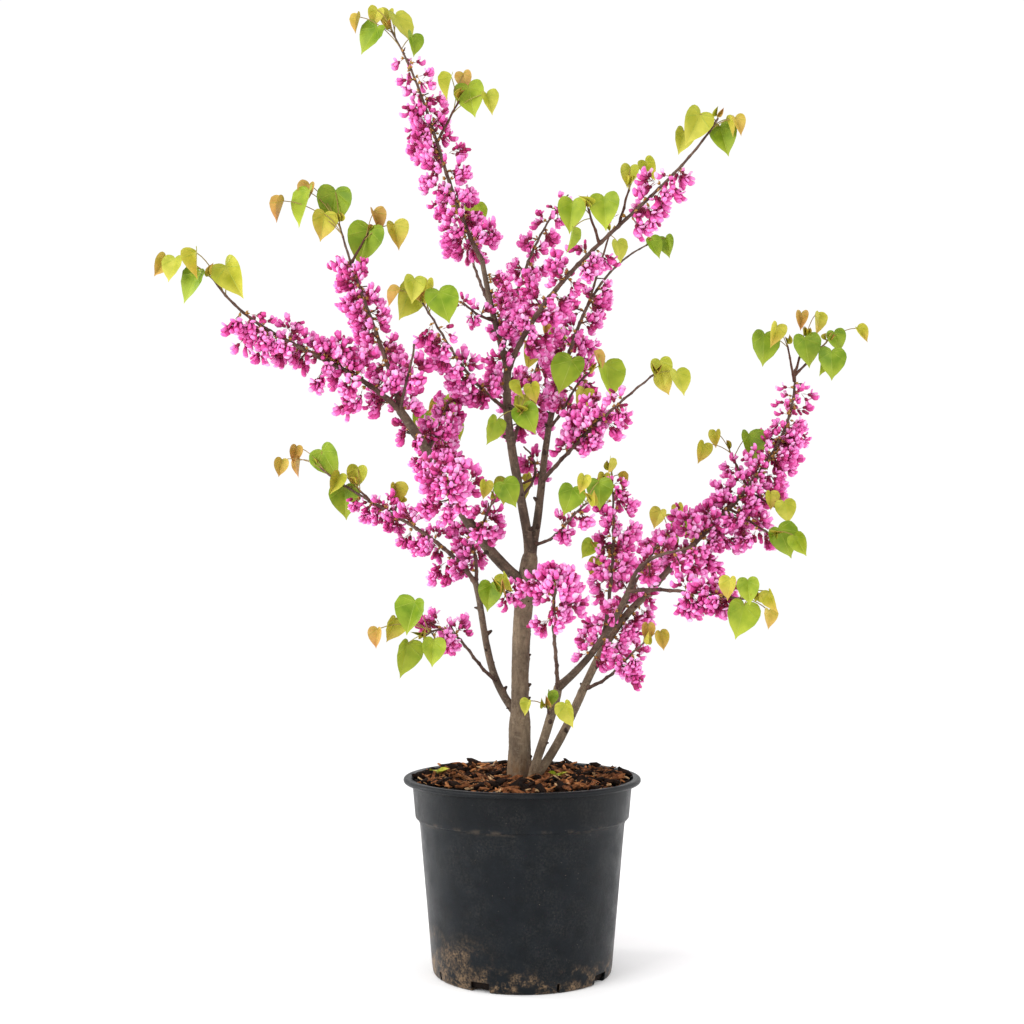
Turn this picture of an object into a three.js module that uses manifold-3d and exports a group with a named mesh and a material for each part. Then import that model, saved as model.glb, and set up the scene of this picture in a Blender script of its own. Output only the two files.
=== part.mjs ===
// A young judas tree in blossom, in a round nursery pot filled with bark mulch.
// Millimetres, +Z up. The origin is the centre of the pot's flat underside, and the front is -Y.
import * as THREE from 'three';
import { mergeVertices } from 'three/addons/utils/BufferGeometryUtils.js';
import Module from 'manifold-3d';

const wasm = await Module();
wasm.setup();

// Clear gap between neighbouring solids.
const CLEAR = 0.3;

// The pot: a ten-litre nursery container with a rolled rim, a collar and a tapered body.
const POT = {
  height: 227,
  rimRadius: 140,
  beadHeight: 9,
  beadEase: 2.5,
  collarTop: 130,
  collarFoot: 126,
  stepHeight: 176,
  stepRise: 3,
  bodyTop: 121.5,
  footRadius: 105,
  footEase: 4,
  wall: 1.8,
  floor: 2.5,
  sides: 32,
};

// Drain openings in the foot of the pot: four wide notches and four narrow slits.
const NOTCH = { width: 23, height: 11.5, turn: -28 };
const SLIT = { width: 3.5, height: 11, turn: -64 };
const NOTCH_DEPTH = 14;

// The mulch is heaped a little round the stems and lies lower at the wall, slack clear of it.
const GROUND = 223;
const MULCH = { flatRadius: 48, wallHeight: 217, shoulder: 3, slack: 0.5 };

// Woody limbs that carry bare bark. A limb springs from a root, or from a place on another limb,
// where at is the share of that limb's length. It runs to its tip, bows to one side in the
// middle and sways to either side in its two halves, both given as [x, z]. Radii are at the
// root and at the tip, and a flare widens the foot of a stem.
const LIMBS = {
  trunk: {
    root: [-4, 10, 219], tip: [10, 10, 487],
    bow: [-5, 0], sway: [2, 0], radius: [12, 8], flare: 5,
  },
  leader: {
    on: 'trunk', at: 1, tip: [-17, 0, 712],
    bow: [-6, 0], sway: [3, 1], radius: [6, 4.2],
  },
  bough_fork: {
    on: 'trunk', at: 1, tip: [45, 70, 692],
    bow: [-2, -1], sway: [3, 0], radius: [5.6, 3.2],
  },
  bough_left: {
    on: 'trunk', at: 0.87, tip: [-139, -80, 651],
    bow: [-10, -2], sway: [-5, -2], radius: [6.8, 5],
  },
  stem_left: {
    on: 'trunk', at: 0.29, tip: [-57, 70, 454],
    bow: [-11, -6], sway: [-4, -2], radius: [5, 3.6],
  },
  bough_top: {
    on: 'leader', at: 1, tip: [-48, 12, 844],
    bow: [-2, -1], sway: [0, 0], radius: [3.9, 3],
  },
  stem_front: {
    root: [8, -8, 214], tip: [42, -20, 333],
    bow: [1, 0], sway: [-1, 0], radius: [5.4, 4.6], flare: 1.5,
  },
  bough_front: {
    on: 'stem_front', at: 1, tip: [126, -55, 455],
    bow: [8, -5], sway: [0, -1], radius: [4.4, 3.2],
  },
  stem_rear: {
    root: [16, 14, 214], tip: [156, 50, 442],
    bow: [-8, 4], sway: [7, -5], radius: [5.6, 4.2], flare: 1.5,
  },
};

// Flowering branches, each a mass of its own: a stem, its twigs, leaves and blossom. Blossom
// covers the stem between two shares of its length, and reach is how far it stands out there.
// A bunch of leaves is read as a clock face round the twig's tip, seen from the view point: the hour,
// the tone (g green, y yellow-green, b bronze, in capitals for a large leaf) and how far out.
const VIEW_POINT = new THREE.Vector3(-12, -1729, 467);
const MASSES = {
  mass_top: {
    on: 'bough_top', at: 1, tip: [-163, 60, 1144], bow: [2, -1], sway: [-5, -3], radius: [2.8, 1.1],
    blossom: [0, 0.9], reach: [44, 20], leaves: '8.5G26 2Y13 11.5b18 10.5b28 9.5b43 4g31',
    twigs: [{ at: 0.51, tip: [-77, 16, 1041], leaves: '11y24 2.5G15 0.5b27 3y37' }],
  },
  mass_arm: {
    on: 'leader', at: 0.98, tip: [209, -190, 954], bow: [-3, 15], sway: [-9, 8], radius: [3.3, 1.1],
    blossom: [0.1, 0.84], reach: [44, 22], leaves: '8.5Y25 8y45 5.5G21 4b14 3.5b22',
    twigs: [
      { at: 0.48, tip: [73, -121, 874], leaves: '3Y19 8.5G19 7g38' },
      { at: 0.56, tip: [122, -86, 907], leaves: '12y15 1.5y32' },
    ],
  },
  mass_arm_rear: {
    on: 'bough_top', at: 0.17, tip: [62, 170, 966], bow: [-14, 1], sway: [2, -1], radius: [2.4, 1],
    blossom: [0.12, 0.97], reach: [34, 18], leaves: '',
  },
  mass_heart: {
    on: 'bough_fork', at: 1, tip: [172, 230, 913], bow: [-23, 10], sway: [4, -4], radius: [3, 1],
    blossom: [0.06, 0.75], reach: [46, 24], leaves: '3.5g9 3g27',
    twigs: [{ at: 0.51, tip: [118, 181, 918], blossom: [0.2, 0.9], reach: [24, 16], leaves: '5y25' }],
  },
  mass_spray_left: {
    on: 'leader', at: 0.78, tip: [-110, -150, 762], bow: [-10, -1], sway: [-3, -1], radius: [2.2, 1],
    blossom: [0.14, 0.7], reach: [38, 20], leaves: '9.5Y19 9.5b30 0.5y16 3G22 11y20',
  },
  mass_bud_twig: {
    on: 'bough_top', at: 0.45, tip: [-76, -70, 780], bow: [-4, 0], sway: [-3, -1], radius: [1.7, 1],
    blossom: [0.3, 0.95], reach: [22, 16], leaves: '',
  },
  mass_leader_sprig: {
    on: 'leader', at: 0.81, tip: [-2, -60, 651], bow: [2, 0], sway: [1, 0], radius: [1.6, 1],
    leaves: '4G9 1y29 12y30 8G36 12y10',
  },
  mass_fork_inner: {
    on: 'bough_fork', at: 0.78, tip: [80, -20, 704], bow: [0, 2], sway: [3, -1], radius: [2, 1],
    blossom: [0.25, 0.85], reach: [30, 18], leaves: '3.5G21 9G26 6.5y33 1b17',
  },
  mass_fork_right: {
    on: 'bough_fork', at: 0.45, tip: [146, -130, 687], bow: [0, 6], sway: [0, 0], radius: [2.6, 1],
    blossom: [0.18, 0.88], reach: [38, 24], leaves: '2y9 3.5y28 4.5b14',
  },
  mass_fork_low: {
    on: 'bough_fork', at: 0.07, tip: [74, -90, 546], bow: [4, -4], sway: [3, -3], radius: [2, 1],
    blossom: [0.4, 0.85], reach: [24, 18], leaves: '9.5G21 1.5G18 11.5y24',
  },
  mass_leader_rear: {
    on: 'leader', at: 0.31, tip: [3, 110, 627], bow: [16, 1], sway: [0, -1], radius: [1.8, 1],
    blossom: [0.45, 0.97], reach: [26, 20], leaves: '',
    twigs: [{ at: 0.35, tip: [-5, 53, 574], leaves: '8.5Y16 4.5y10 2b17' }],
  },
  mass_left_arm: {
    on: 'bough_left', at: 1, tip: [-328, -210, 778], bow: [-8, -2], sway: [5, 8], radius: [3.2, 1.1],
    blossom: [0.06, 0.9], reach: [46, 18], leaves: '8.5G21 9.5y43 9.5b56 10.5y24 3Y21',
  },
  mass_left_rise: {
    on: 'bough_left', at: 1, tip: [-227, 60, 901], bow: [2, -4], sway: [2, 1], radius: [3, 1.1],
    blossom: [0.1, 0.8], reach: [42, 20], leaves: '11.5G25 10G49 10.5b56 9.5b75 9y20',
    twigs: [{ at: 0.79, tip: [-191, 60, 889], leaves: '6.5G12 1b20 3y35' }],
  },
  mass_left_short: {
    on: 'bough_left', at: 1, tip: [-119, -150, 716], bow: [0, 1], sway: [-1, 0], radius: [2, 1.1],
    blossom: [0.3, 0.97], reach: [34, 28], leaves: '',
  },
  mass_left_inner: {
    on: 'bough_left', at: 0.78, tip: [-87, -10, 670], bow: [2, 0], sway: [2, 0], radius: [2, 1.1],
    blossom: [0.2, 0.97], reach: [34, 30], leaves: '',
  },
  mass_left_ball: {
    on: 'bough_left', at: 0.5, tip: [-81, -160, 565], bow: [-1, 0], sway: [0, -1], radius: [2.4, 1.4],
    blossom: [0.2, 0.97], reach: [46, 44], leaves: '',
  },
  mass_left_twig: {
    on: 'bough_left', at: 0.3, tip: [-31, -80, 551], bow: [-2, 2], sway: [1, 1], radius: [1.8, 1],
    blossom: [0.15, 0.85], reach: [32, 22], leaves: '10.5y17 2G17',
  },
  mass_low_arm: {
    on: 'stem_left', at: 1, tip: [-272, 210, 610], bow: [10, 4], sway: [4, 5], radius: [3, 1.1],
    blossom: [0.08, 0.66], reach: [44, 20], leaves: '2G15 9b50 10b35 9b25',
    twigs: [
      { at: 0.68, tip: [-217, 184, 580], leaves: '7.5G22 12y15 9.5y28' },
      { at: 0.55, tip: [-161, 167, 557], leaves: '11.5y16' },
    ],
  },
  mass_low_rise: {
    on: 'stem_left', at: 1, tip: [-91, 180, 576], bow: [8, 0], sway: [2, 0], radius: [2.4, 1.2],
    blossom: [0.35, 0.97], reach: [38, 34], leaves: '',
  },
  mass_low_spur: {
    on: 'stem_left', at: 0.29, tip: [-109, -110, 397], bow: [1, 18], sway: [-3, -8], radius: [2.2, 1],
    blossom: [0.58, 0.92], reach: [36, 32], leaves: '7.5G31 11G29 9.5y37 9b53 5g18',
  },
  mass_front_ball: {
    on: 'stem_front', at: 0.97, tip: [36, -160, 454], bow: [-3, 2], sway: [2, 0], radius: [2.4, 1.4],
    blossom: [0.42, 0.97], reach: [46, 46], leaves: '',
  },
  mass_front_tip: {
    on: 'bough_front', at: 1, tip: [182, -150, 494], bow: [-6, 10], sway: [-2, 2], radius: [2.6, 1.1],
    blossom: [0.2, 0.97], reach: [36, 30], leaves: '',
  },
  mass_front_arm: {
    on: 'bough_front', at: 0.93, tip: [243, -180, 439], bow: [3, 3], sway: [1, 2], radius: [2.4, 1],
    blossom: [0.4, 0.86], reach: [38, 22], leaves: '7G22 11.5g11 10y27 3y22 4.5b27',
  },
  mass_front_rise: {
    on: 'bough_front', at: 0.53, tip: [109, 30, 589], bow: [6, -3], sway: [0, 0], radius: [2.4, 1.1],
    blossom: [0.3, 0.97], reach: [38, 32], leaves: '7.5b14 4.5b14 11.5b10',
    twigs: [{ at: 0.56, tip: [92, -10, 496], leaves: '9g13 6.5y23' }],
  },
  mass_right_arm: {
    on: 'stem_rear', at: 1, tip: [364, 190, 736], bow: [24, -19], sway: [-12, 5], radius: [4, 1.4],
    blossom: [0.02, 0.95], reach: [54, 24], leaves: '',
    twigs: [
      { at: 0.96, tip: [348, 155, 763], leaves: '9G32 10.5y23' },
      { at: 0.99, tip: [381, 198, 780], leaves: '6G14 11.5b26 1y25' },
      { at: 0.98, tip: [411, 213, 777], leaves: '2.5g14 5.5G27 6.5g29 2.5b48' },
      { at: 0.52, tip: [271, 153, 625], leaves: '9y36 10.5b25 2.5G28' },
      { at: 0.42, tip: [310, 58, 512], leaves: '3.5G13 3.5g33' },
      { at: 0.51, tip: [320, 101, 550], leaves: '11b12 3.5y14' },
    ],
  },
  mass_rear_low: {
    on: 'stem_rear', at: 0.48, tip: [137, -90, 388], bow: [5, -2], sway: [3, -1], radius: [2.2, 1],
    blossom: [0.25, 0.95], reach: [38, 26], leaves: '0.5b14 2.5b20',
  },
  mass_foot_sprig: {
    on: 'stem_front', at: 0.72, tip: [28, -45, 313], bow: [-1, 1], sway: [-1, 1], radius: [1.5, 1],
    leaves: '9y23 0.5g10 3.5Y26',
  },
  mass_trunk_sprig: {
    on: 'trunk', at: 0.79, tip: [-27, -40, 449], bow: [-1, 1], sway: [-1, 0], radius: [1.6, 1],
    blossom: [0.5, 0.75], reach: [16, 16], leaves: '8G13 1.5y12',
  },
  mass_back_left: {
    on: 'bough_left', at: 0.67, tip: [-109, 220, 673], bow: [-1, -2], sway: [0, 1], radius: [2.6, 1.1],
    blossom: [0.3, 0.9], reach: [38, 24], leaves: '11b22 1Y20 9G24 4g26',
  },
  mass_back_middle: {
    on: 'leader', at: 0.57, tip: [33, 230, 776], bow: [-4, -4], sway: [0, 0], radius: [2.6, 1.1],
    blossom: [0.25, 0.9], reach: [42, 24], leaves: '12b22 2G22 8Y24 5g26',
  },
  mass_back_right: {
    on: 'stem_rear', at: 0.75, tip: [205, 240, 532], bow: [-7, 0], sway: [0, 0], radius: [2.6, 1.1],
    blossom: [0.35, 0.92], reach: [40, 26], leaves: '1b22 3G24 10y22 6g26',
  },
  mass_back_top: {
    on: 'bough_top', at: 0.55, tip: [-79, 190, 935], bow: [-2, -5], sway: [0, 0], radius: [2.2, 1],
    blossom: [0.25, 0.9], reach: [34, 20], leaves: '11b20 2G20 7y22',
  },
};

// Radii of a twig at its root and tip, the step from ring to ring of a limb, and how fast the flare
// at the foot of a stem dies away.
const TWIG = [1.7, 1.1];
const RING_STEP = 38;
const FLARE_FALL = 14;

// Sides of the limbs' cross-sections, and the seed of everything that varies.
const TRUNK_SIDES = 12;
const BOUGH_SIDES = 8;
const STEM_SIDES = 4;
const TWIG_SIDES = 3;
const SEED = 7919;

// Blossom stands on the old wood in single sprays, each a golden turn on from the last. Width and
// belly are shares of a spray's length, and the ranges are what a random share picks from.
const SPRAY_STEP = 21.5;
const GOLDEN_TURN = THREE.MathUtils.degToRad(137.5);
const SPRAY = { width: 0.4, belly: 0.6, droop: 0.22, stray: 0.8, forward: [0.1, 0.6], length: [0.82, 1.18] };

// Heart-shaped leaves, hung tip down on thin stalks, which leave the twig one after the other, the
// first a little short of its tip. Sizes go by tone, and thickness is a share of the size.
const LEAF_SIZES = { G: 42, Y: 42, g: 30, y: 29, b: 24 };
const LEAF = { thickness: 0.06, stalk: [0.45, 0.5], first: 3, next: 5, lowest: 0.3 };
const LEAF_VARY = { size: [0.94, 1.06], depth: [-7, 7], twist: [-0.55, 0.55] };
const LEAF_LEAN = { outwards: 0.35, away: 0.012, faceUp: 0.15 };
const HEART = [[0, 0.04], [0.36, -0.1], [0.48, 0.3], [0, 0.94]];
const HEART_MIDDLE = 0.42;
const STALK_END = 0.3;
const DEPTHS = [0, 9, -9, 18, -18, 27, -27, 36, -36];

// Rods that stand for a leaf's blade: three down the heart, as shares of its size.
const BLADE_RODS = { across: [-0.33, 0, 0.33], from: 0.05, to: 0.78, narrowing: 0.4, radius: 0.12 };
const SPRAY_ROD = { from: 0.5, to: 0.8, radius: 0.85 };

const BARK = new THREE.MeshStandardMaterial({ color: 0x8c806e, roughness: 0.85, metalness: 0 });
const BLOSSOM = new THREE.MeshStandardMaterial({ color: 0xdc5fb0, roughness: 0.7, metalness: 0 });
const PLASTIC = new THREE.MeshStandardMaterial({ color: 0x2c2f31, roughness: 0.5, metalness: 0 });
const BARK_MULCH = new THREE.MeshStandardMaterial({ color: 0x6b4027, roughness: 0.95, metalness: 0 });

const vector = (values) => new THREE.Vector3(...values);
const side = ([x, z]) => new THREE.Vector3(x, 0, z);

// A repeatable stream of numbers from 0 to 1.
function seeded(seed) {
  let state = seed;
  return () => {
    state = (state * 1664525 + 1013904223) % 4294967296;
    return state / 4294967296;
  };
}

// A random pick from a range.
const pick = ([low, high], random) => low + (high - low) * random();

// Solid of a closed geometry, its shared corners merged.
function solid(geometry) {
  const bare = geometry.clone();
  bare.deleteAttribute('normal');
  bare.deleteAttribute('uv');
  const merged = mergeVertices(bare, 1e-4);
  const vertProperties = new Float32Array(merged.attributes.position.array);
  const triVerts = new Uint32Array(merged.index.array);
  return new wasm.Manifold(new wasm.Mesh({ numProp: 3, vertProperties, triVerts }));
}

// Geometry of a solid's largest piece, so that loose scraps and sealed hollows are dropped.
function geometryOf(shape) {
  const largest = shape.decompose().reduce((a, b) => (b.volume() > a.volume() ? b : a));
  const { vertProperties, triVerts } = largest.getMesh();
  const geometry = new THREE.BufferGeometry();
  geometry.setAttribute('position', new THREE.BufferAttribute(new Float32Array(vertProperties), 3));
  geometry.setIndex(new THREE.BufferAttribute(new Uint32Array(triVerts), 1));
  return geometry;
}

function closedGeometry(points, faces) {
  const geometry = new THREE.BufferGeometry();
  const array = new Float32Array(points.flatMap((point) => [point.x, point.y, point.z]));
  geometry.setAttribute('position', new THREE.BufferAttribute(array, 3));
  geometry.setIndex(faces.flat());
  return geometry;
}

// Two directions square to a heading, the same for every limb that passes through a place.
const ACROSS = new THREE.Vector3(0.8, 0.6, 0);
function squareTo(heading) {
  const right = new THREE.Vector3().crossVectors(heading, ACROSS).normalize();
  const up = new THREE.Vector3().crossVectors(right, heading);
  return [right, up];
}

// Centre line of a limb from its root to its tip, with its bow and sway.
function centreLine({ root, tip, bow, sway }) {
  const reach = new THREE.Vector3().subVectors(tip, root);
  const early = root.clone().addScaledVector(reach, 1 / 3);
  early.addScaledVector(bow, 4 / 3).addScaledVector(sway, 8 / 3);
  const late = root.clone().addScaledVector(reach, 2 / 3);
  late.addScaledVector(bow, 4 / 3).addScaledVector(sway, -8 / 3);
  return new THREE.CubicBezierCurve3(root, early, late, tip);
}

// A limb's rings stand on its centre line, and straight stretches join them.
function makeLimb(spec, parent) {
  const root = parent ? parent.at(spec.at) : vector(spec.root);
  const bow = side(spec.bow ?? [0, 0]);
  const sway = side(spec.sway ?? [0, 0]);
  const line = centreLine({ root, tip: vector(spec.tip), bow, sway });
  const length = line.getLength();
  const rings = Math.max(1, Math.round(length / RING_STEP));
  const centres = line.getPoints(rings);
  const at = (t) => {
    const ring = Math.min(rings - 1, Math.floor(t * rings));
    return centres[ring].clone().lerp(centres[ring + 1], t * rings - ring);
  };
  const heading = (t) => line.getTangent(t);
  const [thick, thin] = spec.radius;
  const flare = spec.flare ?? 0;
  const radius = (t) => thick + (thin - thick) * t + flare * Math.exp(-t * FLARE_FALL);
  return { spec, root, length, rings, at, heading, radius };
}

// Lofted skin of a limb. Grow widens it all round, for cutting its neighbours clear of it.
function loftLimb(limb, sides, grow = 0) {
  const points = [];
  const faces = [];
  for (let ring = 0; ring <= limb.rings; ring += 1) {
    const t = ring / limb.rings;
    const centre = limb.at(t);
    const heading = limb.heading(t);
    const [right, up] = squareTo(heading);
    if (ring === 0) centre.addScaledVector(heading, -grow);
    if (ring === limb.rings) centre.addScaledVector(heading, grow);
    const r = limb.radius(t) + grow;
    for (let k = 0; k < sides; k += 1) {
      const angle = (2 * Math.PI * k) / sides;
      const point = centre.clone().addScaledVector(right, r * Math.cos(angle));
      points.push(point.addScaledVector(up, r * Math.sin(angle)));
    }
  }
  for (let ring = 0; ring < limb.rings; ring += 1) {
    for (let k = 0; k < sides; k += 1) {
      const a = ring * sides + k;
      const b = ring * sides + ((k + 1) % sides);
      faces.push([a, a + sides, b], [b, a + sides, b + sides]);
    }
  }
  const last = limb.rings * sides;
  for (let k = 1; k < sides - 1; k += 1) {
    faces.push([0, k, k + 1], [last, last + k + 1, last + k]);
  }
  return solid(closedGeometry(points, faces));
}

// The spaces that limbs, twigs, leaves and sprays hold, as round-ended rods.
const held = [];

function rodsOfLimb(limb, owner) {
  return Array.from({ length: limb.rings }, (_, ring) => {
    const start = limb.at(ring / limb.rings);
    const end = limb.at((ring + 1) / limb.rings);
    return { start, end, radius: limb.radius(ring / limb.rings), owner };
  });
}

// Shortest distance between two straight stretches.
function distance(p, q) {
  const u = new THREE.Vector3().subVectors(p.end, p.start);
  const v = new THREE.Vector3().subVectors(q.end, q.start);
  const w = new THREE.Vector3().subVectors(p.start, q.start);
  const a = u.dot(u);
  const b = u.dot(v);
  const c = v.dot(v);
  const d = u.dot(w);
  const e = v.dot(w);
  const denominator = a * c - b * b;
  const clamp = (value) => Math.min(1, Math.max(0, value));
  let s = denominator > 1e-9 ? clamp((b * e - c * d) / denominator) : 0;
  const t = clamp((b * s + e) / c);
  s = clamp((b * t - d) / a);
  const onP = p.start.clone().addScaledVector(u, s);
  const onQ = q.start.clone().addScaledVector(v, t);
  return onP.distanceTo(onQ);
}

function apart(rods, others) {
  const clear = (rod, other) => distance(rod, other) > rod.radius + other.radius + CLEAR;
  return rods.every((rod) => others.every((other) => clear(rod, other)));
}

// One spray of blossom: a spindle from the heart of the wood, widest past its middle.
function spraySolid({ root, heading, length }) {
  const [right, up] = squareTo(heading);
  const belly = root.clone().addScaledVector(heading, length * SPRAY.belly);
  const width = length * SPRAY.width;
  const points = [root, root.clone().addScaledVector(heading, length)];
  for (const [a, b] of [[1, 0], [0, 1], [-1, 0], [0, -1]]) {
    points.push(belly.clone().addScaledVector(right, a * width).addScaledVector(up, b * width));
  }
  const faces = [];
  for (let k = 0; k < 4; k += 1) {
    const a = 2 + k;
    const b = 2 + ((k + 1) % 4);
    faces.push([0, a, b], [1, b, a]);
  }
  return solid(closedGeometry(points, faces));
}

function rodsOfSpray({ root, heading, length }, owner) {
  const start = root.clone().addScaledVector(heading, length * SPRAY_ROD.from);
  const end = root.clone().addScaledVector(heading, length * SPRAY_ROD.to);
  return [{ start, end, radius: length * SPRAY.width * SPRAY_ROD.radius, owner }];
}

// Sprays along the flowering stretch of a limb.
function spraysAlong(limb, random) {
  const [first, last] = limb.spec.blossom;
  const [wide, narrow] = limb.spec.reach;
  const steps = Math.max(3, Math.round(((last - first) * limb.length) / SPRAY_STEP));
  const sprays = [];
  let turn = random() * 2 * Math.PI;
  for (let k = 0; k <= steps; k += 1) {
    const share = k / steps;
    const t = first + (last - first) * share;
    const heading = limb.heading(t);
    const [right, up] = squareTo(heading);
    turn += GOLDEN_TURN + (random() - 0.5) * SPRAY.stray;
    heading.multiplyScalar(pick(SPRAY.forward, random));
    heading.addScaledVector(right, Math.cos(turn)).addScaledVector(up, Math.sin(turn));
    heading.z -= SPRAY.droop;
    const length = (wide + (narrow - wide) * share) * pick(SPRAY.length, random);
    sprays.push({ root: limb.at(t), heading: heading.normalize(), length });
  }
  return sprays;
}

// The leaves of one bunch, read from its clock face. They stand one after the other on the last
// stretch of the twig, and each takes the first depth at which its blade clears the blades before
// it and the whole leaf clears all that other masses hold.
function leavesRound(name, twig, random) {
  const tip = twig.at(1);
  const others = held.filter(({ owner }) => owner !== name);
  const leaves = [];
  twig.spec.leaves.split(' ').filter(Boolean).forEach((mark, order) => {
    const [, hour, tone, out] = mark.match(/^([\d.]+)([a-zA-Z])(\d+)$/);
    const angle = (Number(hour) * Math.PI) / 6;
    const size = LEAF_SIZES[tone] * pick(LEAF_VARY.size, random);
    const depth = pick(LEAF_VARY.depth, random);
    const twist = pick(LEAF_VARY.twist, random);
    const root = twig.at(Math.max(LEAF.lowest, 1 - (LEAF.first + LEAF.next * order) / twig.length));
    const lean = new THREE.Vector3(Math.sin(angle) * LEAF_LEAN.outwards, depth * LEAF_LEAN.away, -1);
    lean.normalize();
    const facing = new THREE.Vector3(Math.sin(twist), -Math.cos(twist), LEAF_LEAN.faceUp);
    const across = new THREE.Vector3().crossVectors(lean, facing).normalize();
    const face = new THREE.Vector3().crossVectors(across, lean);
    const middle = new THREE.Vector3(Math.sin(angle), 0, Math.cos(angle));
    middle.multiplyScalar(Number(out)).add(tip);
    const sight = middle.clone().sub(VIEW_POINT).normalize();
    for (const shift of DEPTHS) {
      const base = middle.clone().addScaledVector(lean, -HEART_MIDDLE * size);
      base.addScaledVector(sight, depth + shift);
      const leaf = { root, base, lean, across, face, size };
      const blade = rodsOfBlade(leaf);
      if (apart(rodsOfLeaf(leaf), others) && leaves.every((other) => apart(blade, rodsOfBlade(other)))) {
        leaves.push(leaf);
        return;
      }
    }
  });
  return leaves;
}

// A leaf: a thin heart, thickest in the middle, on a three-sided stalk that runs from the heart of
// the twig well into the blade.
function leafSolid({ root, base, lean, across, face, size }) {
  const at = (u, v, w) => base.clone().addScaledVector(across, u * size)
    .addScaledVector(lean, v * size).addScaledVector(face, w * size);
  const right = HEART.map(([u, v]) => at(u, v, 0));
  const left = HEART.slice(1, -1).reverse().map(([u, v]) => at(-u, v, 0));
  const rim = [...right, ...left];
  const half = LEAF.thickness / 2;
  const points = [at(0, HEART_MIDDLE, half), at(0, HEART_MIDDLE, -half), ...rim];
  const faces = rim.flatMap((_, k) => {
    const a = 2 + k;
    const b = 2 + ((k + 1) % rim.length);
    return [[0, a, b], [1, b, a]];
  });
  const stalk = makeLimb({ root: root.toArray(), tip: at(0, STALK_END, 0).toArray(), radius: LEAF.stalk });
  return solid(closedGeometry(points, faces)).add(loftLimb(stalk, TWIG_SIDES));
}

function rodsOfBlade({ base, lean, across, size }, owner) {
  const at = (u, v) => base.clone().addScaledVector(across, u * size).addScaledVector(lean, v * size);
  return BLADE_RODS.across.map((u) => {
    const start = at(u, BLADE_RODS.from);
    const end = at(u * BLADE_RODS.narrowing, BLADE_RODS.to);
    return { start, end, radius: size * BLADE_RODS.radius, owner };
  });
}

function rodsOfLeaf(leaf, owner) {
  const stalk = { start: leaf.root, end: leaf.base, radius: LEAF.stalk[1], owner };
  return [...rodsOfBlade(leaf, owner), stalk];
}

// A round body turned from a profile of [radius, height] pairs.
function turned(profile) {
  const lathe = new THREE.LatheGeometry(profile.map(([r, z]) => new THREE.Vector2(r, z)), POT.sides);
  return solid(lathe.rotateX(Math.PI / 2));
}

// The pot, turned from its wall profile, with its drain openings cut out of the foot.
function makePot() {
  const { height, rimRadius, beadHeight, beadEase, collarTop, collarFoot, stepHeight, stepRise } = POT;
  const { bodyTop, footRadius, footEase, wall, floor } = POT;
  const bead = height - beadHeight;
  const outside = [
    [0, 0], [footRadius - footEase, 0], [footRadius, footEase],
    [bodyTop, stepHeight - stepRise], [collarFoot, stepHeight], [collarTop, bead],
    [rimRadius - beadEase, bead], [rimRadius, bead + beadEase],
    [rimRadius, height - beadEase], [rimRadius - beadEase, height],
  ];
  const inside = [
    [collarTop + beadEase, height], [collarTop - wall, height - stepRise],
    [collarFoot - wall, stepHeight], [bodyTop - wall, stepHeight - stepRise],
    [footRadius - wall, floor + wall], [footRadius - wall * 2, floor], [0, floor],
  ];
  let pot = turned([...outside, ...inside]);
  for (const { width, height: rise, turn } of [NOTCH, SLIT]) {
    for (let quarter = 0; quarter < 4; quarter += 1) {
      const cutter = new THREE.BoxGeometry(width, NOTCH_DEPTH * 2, rise * 2);
      cutter.translate(0, -footRadius, 0);
      cutter.rotateZ(THREE.MathUtils.degToRad(turn + 90 * quarter));
      pot = pot.subtract(solid(cutter));
    }
  }
  return geometryOf(pot);
}

// The mulch fills the pot, a slack gap clear of its wall, and is heaped towards the stems.
function makeMulch() {
  const { height, collarTop, collarFoot, stepHeight, stepRise, bodyTop, footRadius, wall, floor } = POT;
  const gap = wall + MULCH.slack;
  const edge = MULCH.wallHeight - MULCH.shoulder;
  const climb = (edge - stepHeight) / (height - stepRise - stepHeight);
  const atWall = collarFoot + (collarTop - collarFoot) * climb - gap;
  const halfWay = (MULCH.flatRadius + atWall) / 2;
  return geometryOf(turned([
    [0, floor + MULCH.slack], [footRadius - gap - wall, floor + MULCH.slack], [footRadius - gap, floor + gap],
    [bodyTop - gap, stepHeight - stepRise + MULCH.slack], [collarFoot - gap, stepHeight + MULCH.slack],
    [atWall, edge], [atWall - MULCH.shoulder, MULCH.wallHeight],
    [halfWay, (MULCH.wallHeight + GROUND) / 2], [MULCH.flatRadius, GROUND - CLEAR], [0, GROUND - CLEAR],
  ]));
}

// Everything in the pot below ground level, for the flat cut under the stems.
const soil = new THREE.BoxGeometry(POT.rimRadius, POT.rimRadius, GROUND);
const belowGround = solid(soil.translate(0, 0, GROUND / 2));

const limbs = {};
for (const [name, spec] of Object.entries(LIMBS)) limbs[name] = makeLimb(spec, limbs[spec.on]);

const masses = {};
Object.entries(MASSES).forEach(([name, spec], index) => {
  const stem = makeLimb(spec, limbs[spec.on]);
  const twigs = (spec.twigs ?? []).map((twig) => makeLimb({ radius: TWIG, ...twig }, stem));
  masses[name] = { stem, twigs, random: seeded(SEED * (index + 1)), parts: [] };
});

// Wood is given its space first, then the leaves, then the blossom. A leaf or spray that would come
// too near another mass or a limb is left out.
for (const [name, limb] of Object.entries(limbs)) held.push(...rodsOfLimb(limb, name));
for (const [name, { stem, twigs }] of Object.entries(masses)) {
  for (const wood of [stem, ...twigs]) held.push(...rodsOfLimb(wood, name));
}

function place(name, rods, makeSolid) {
  if (!apart(rods, held.filter(({ owner }) => owner !== name))) return;
  held.push(...rods);
  masses[name].parts.push(makeSolid());
}

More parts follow.
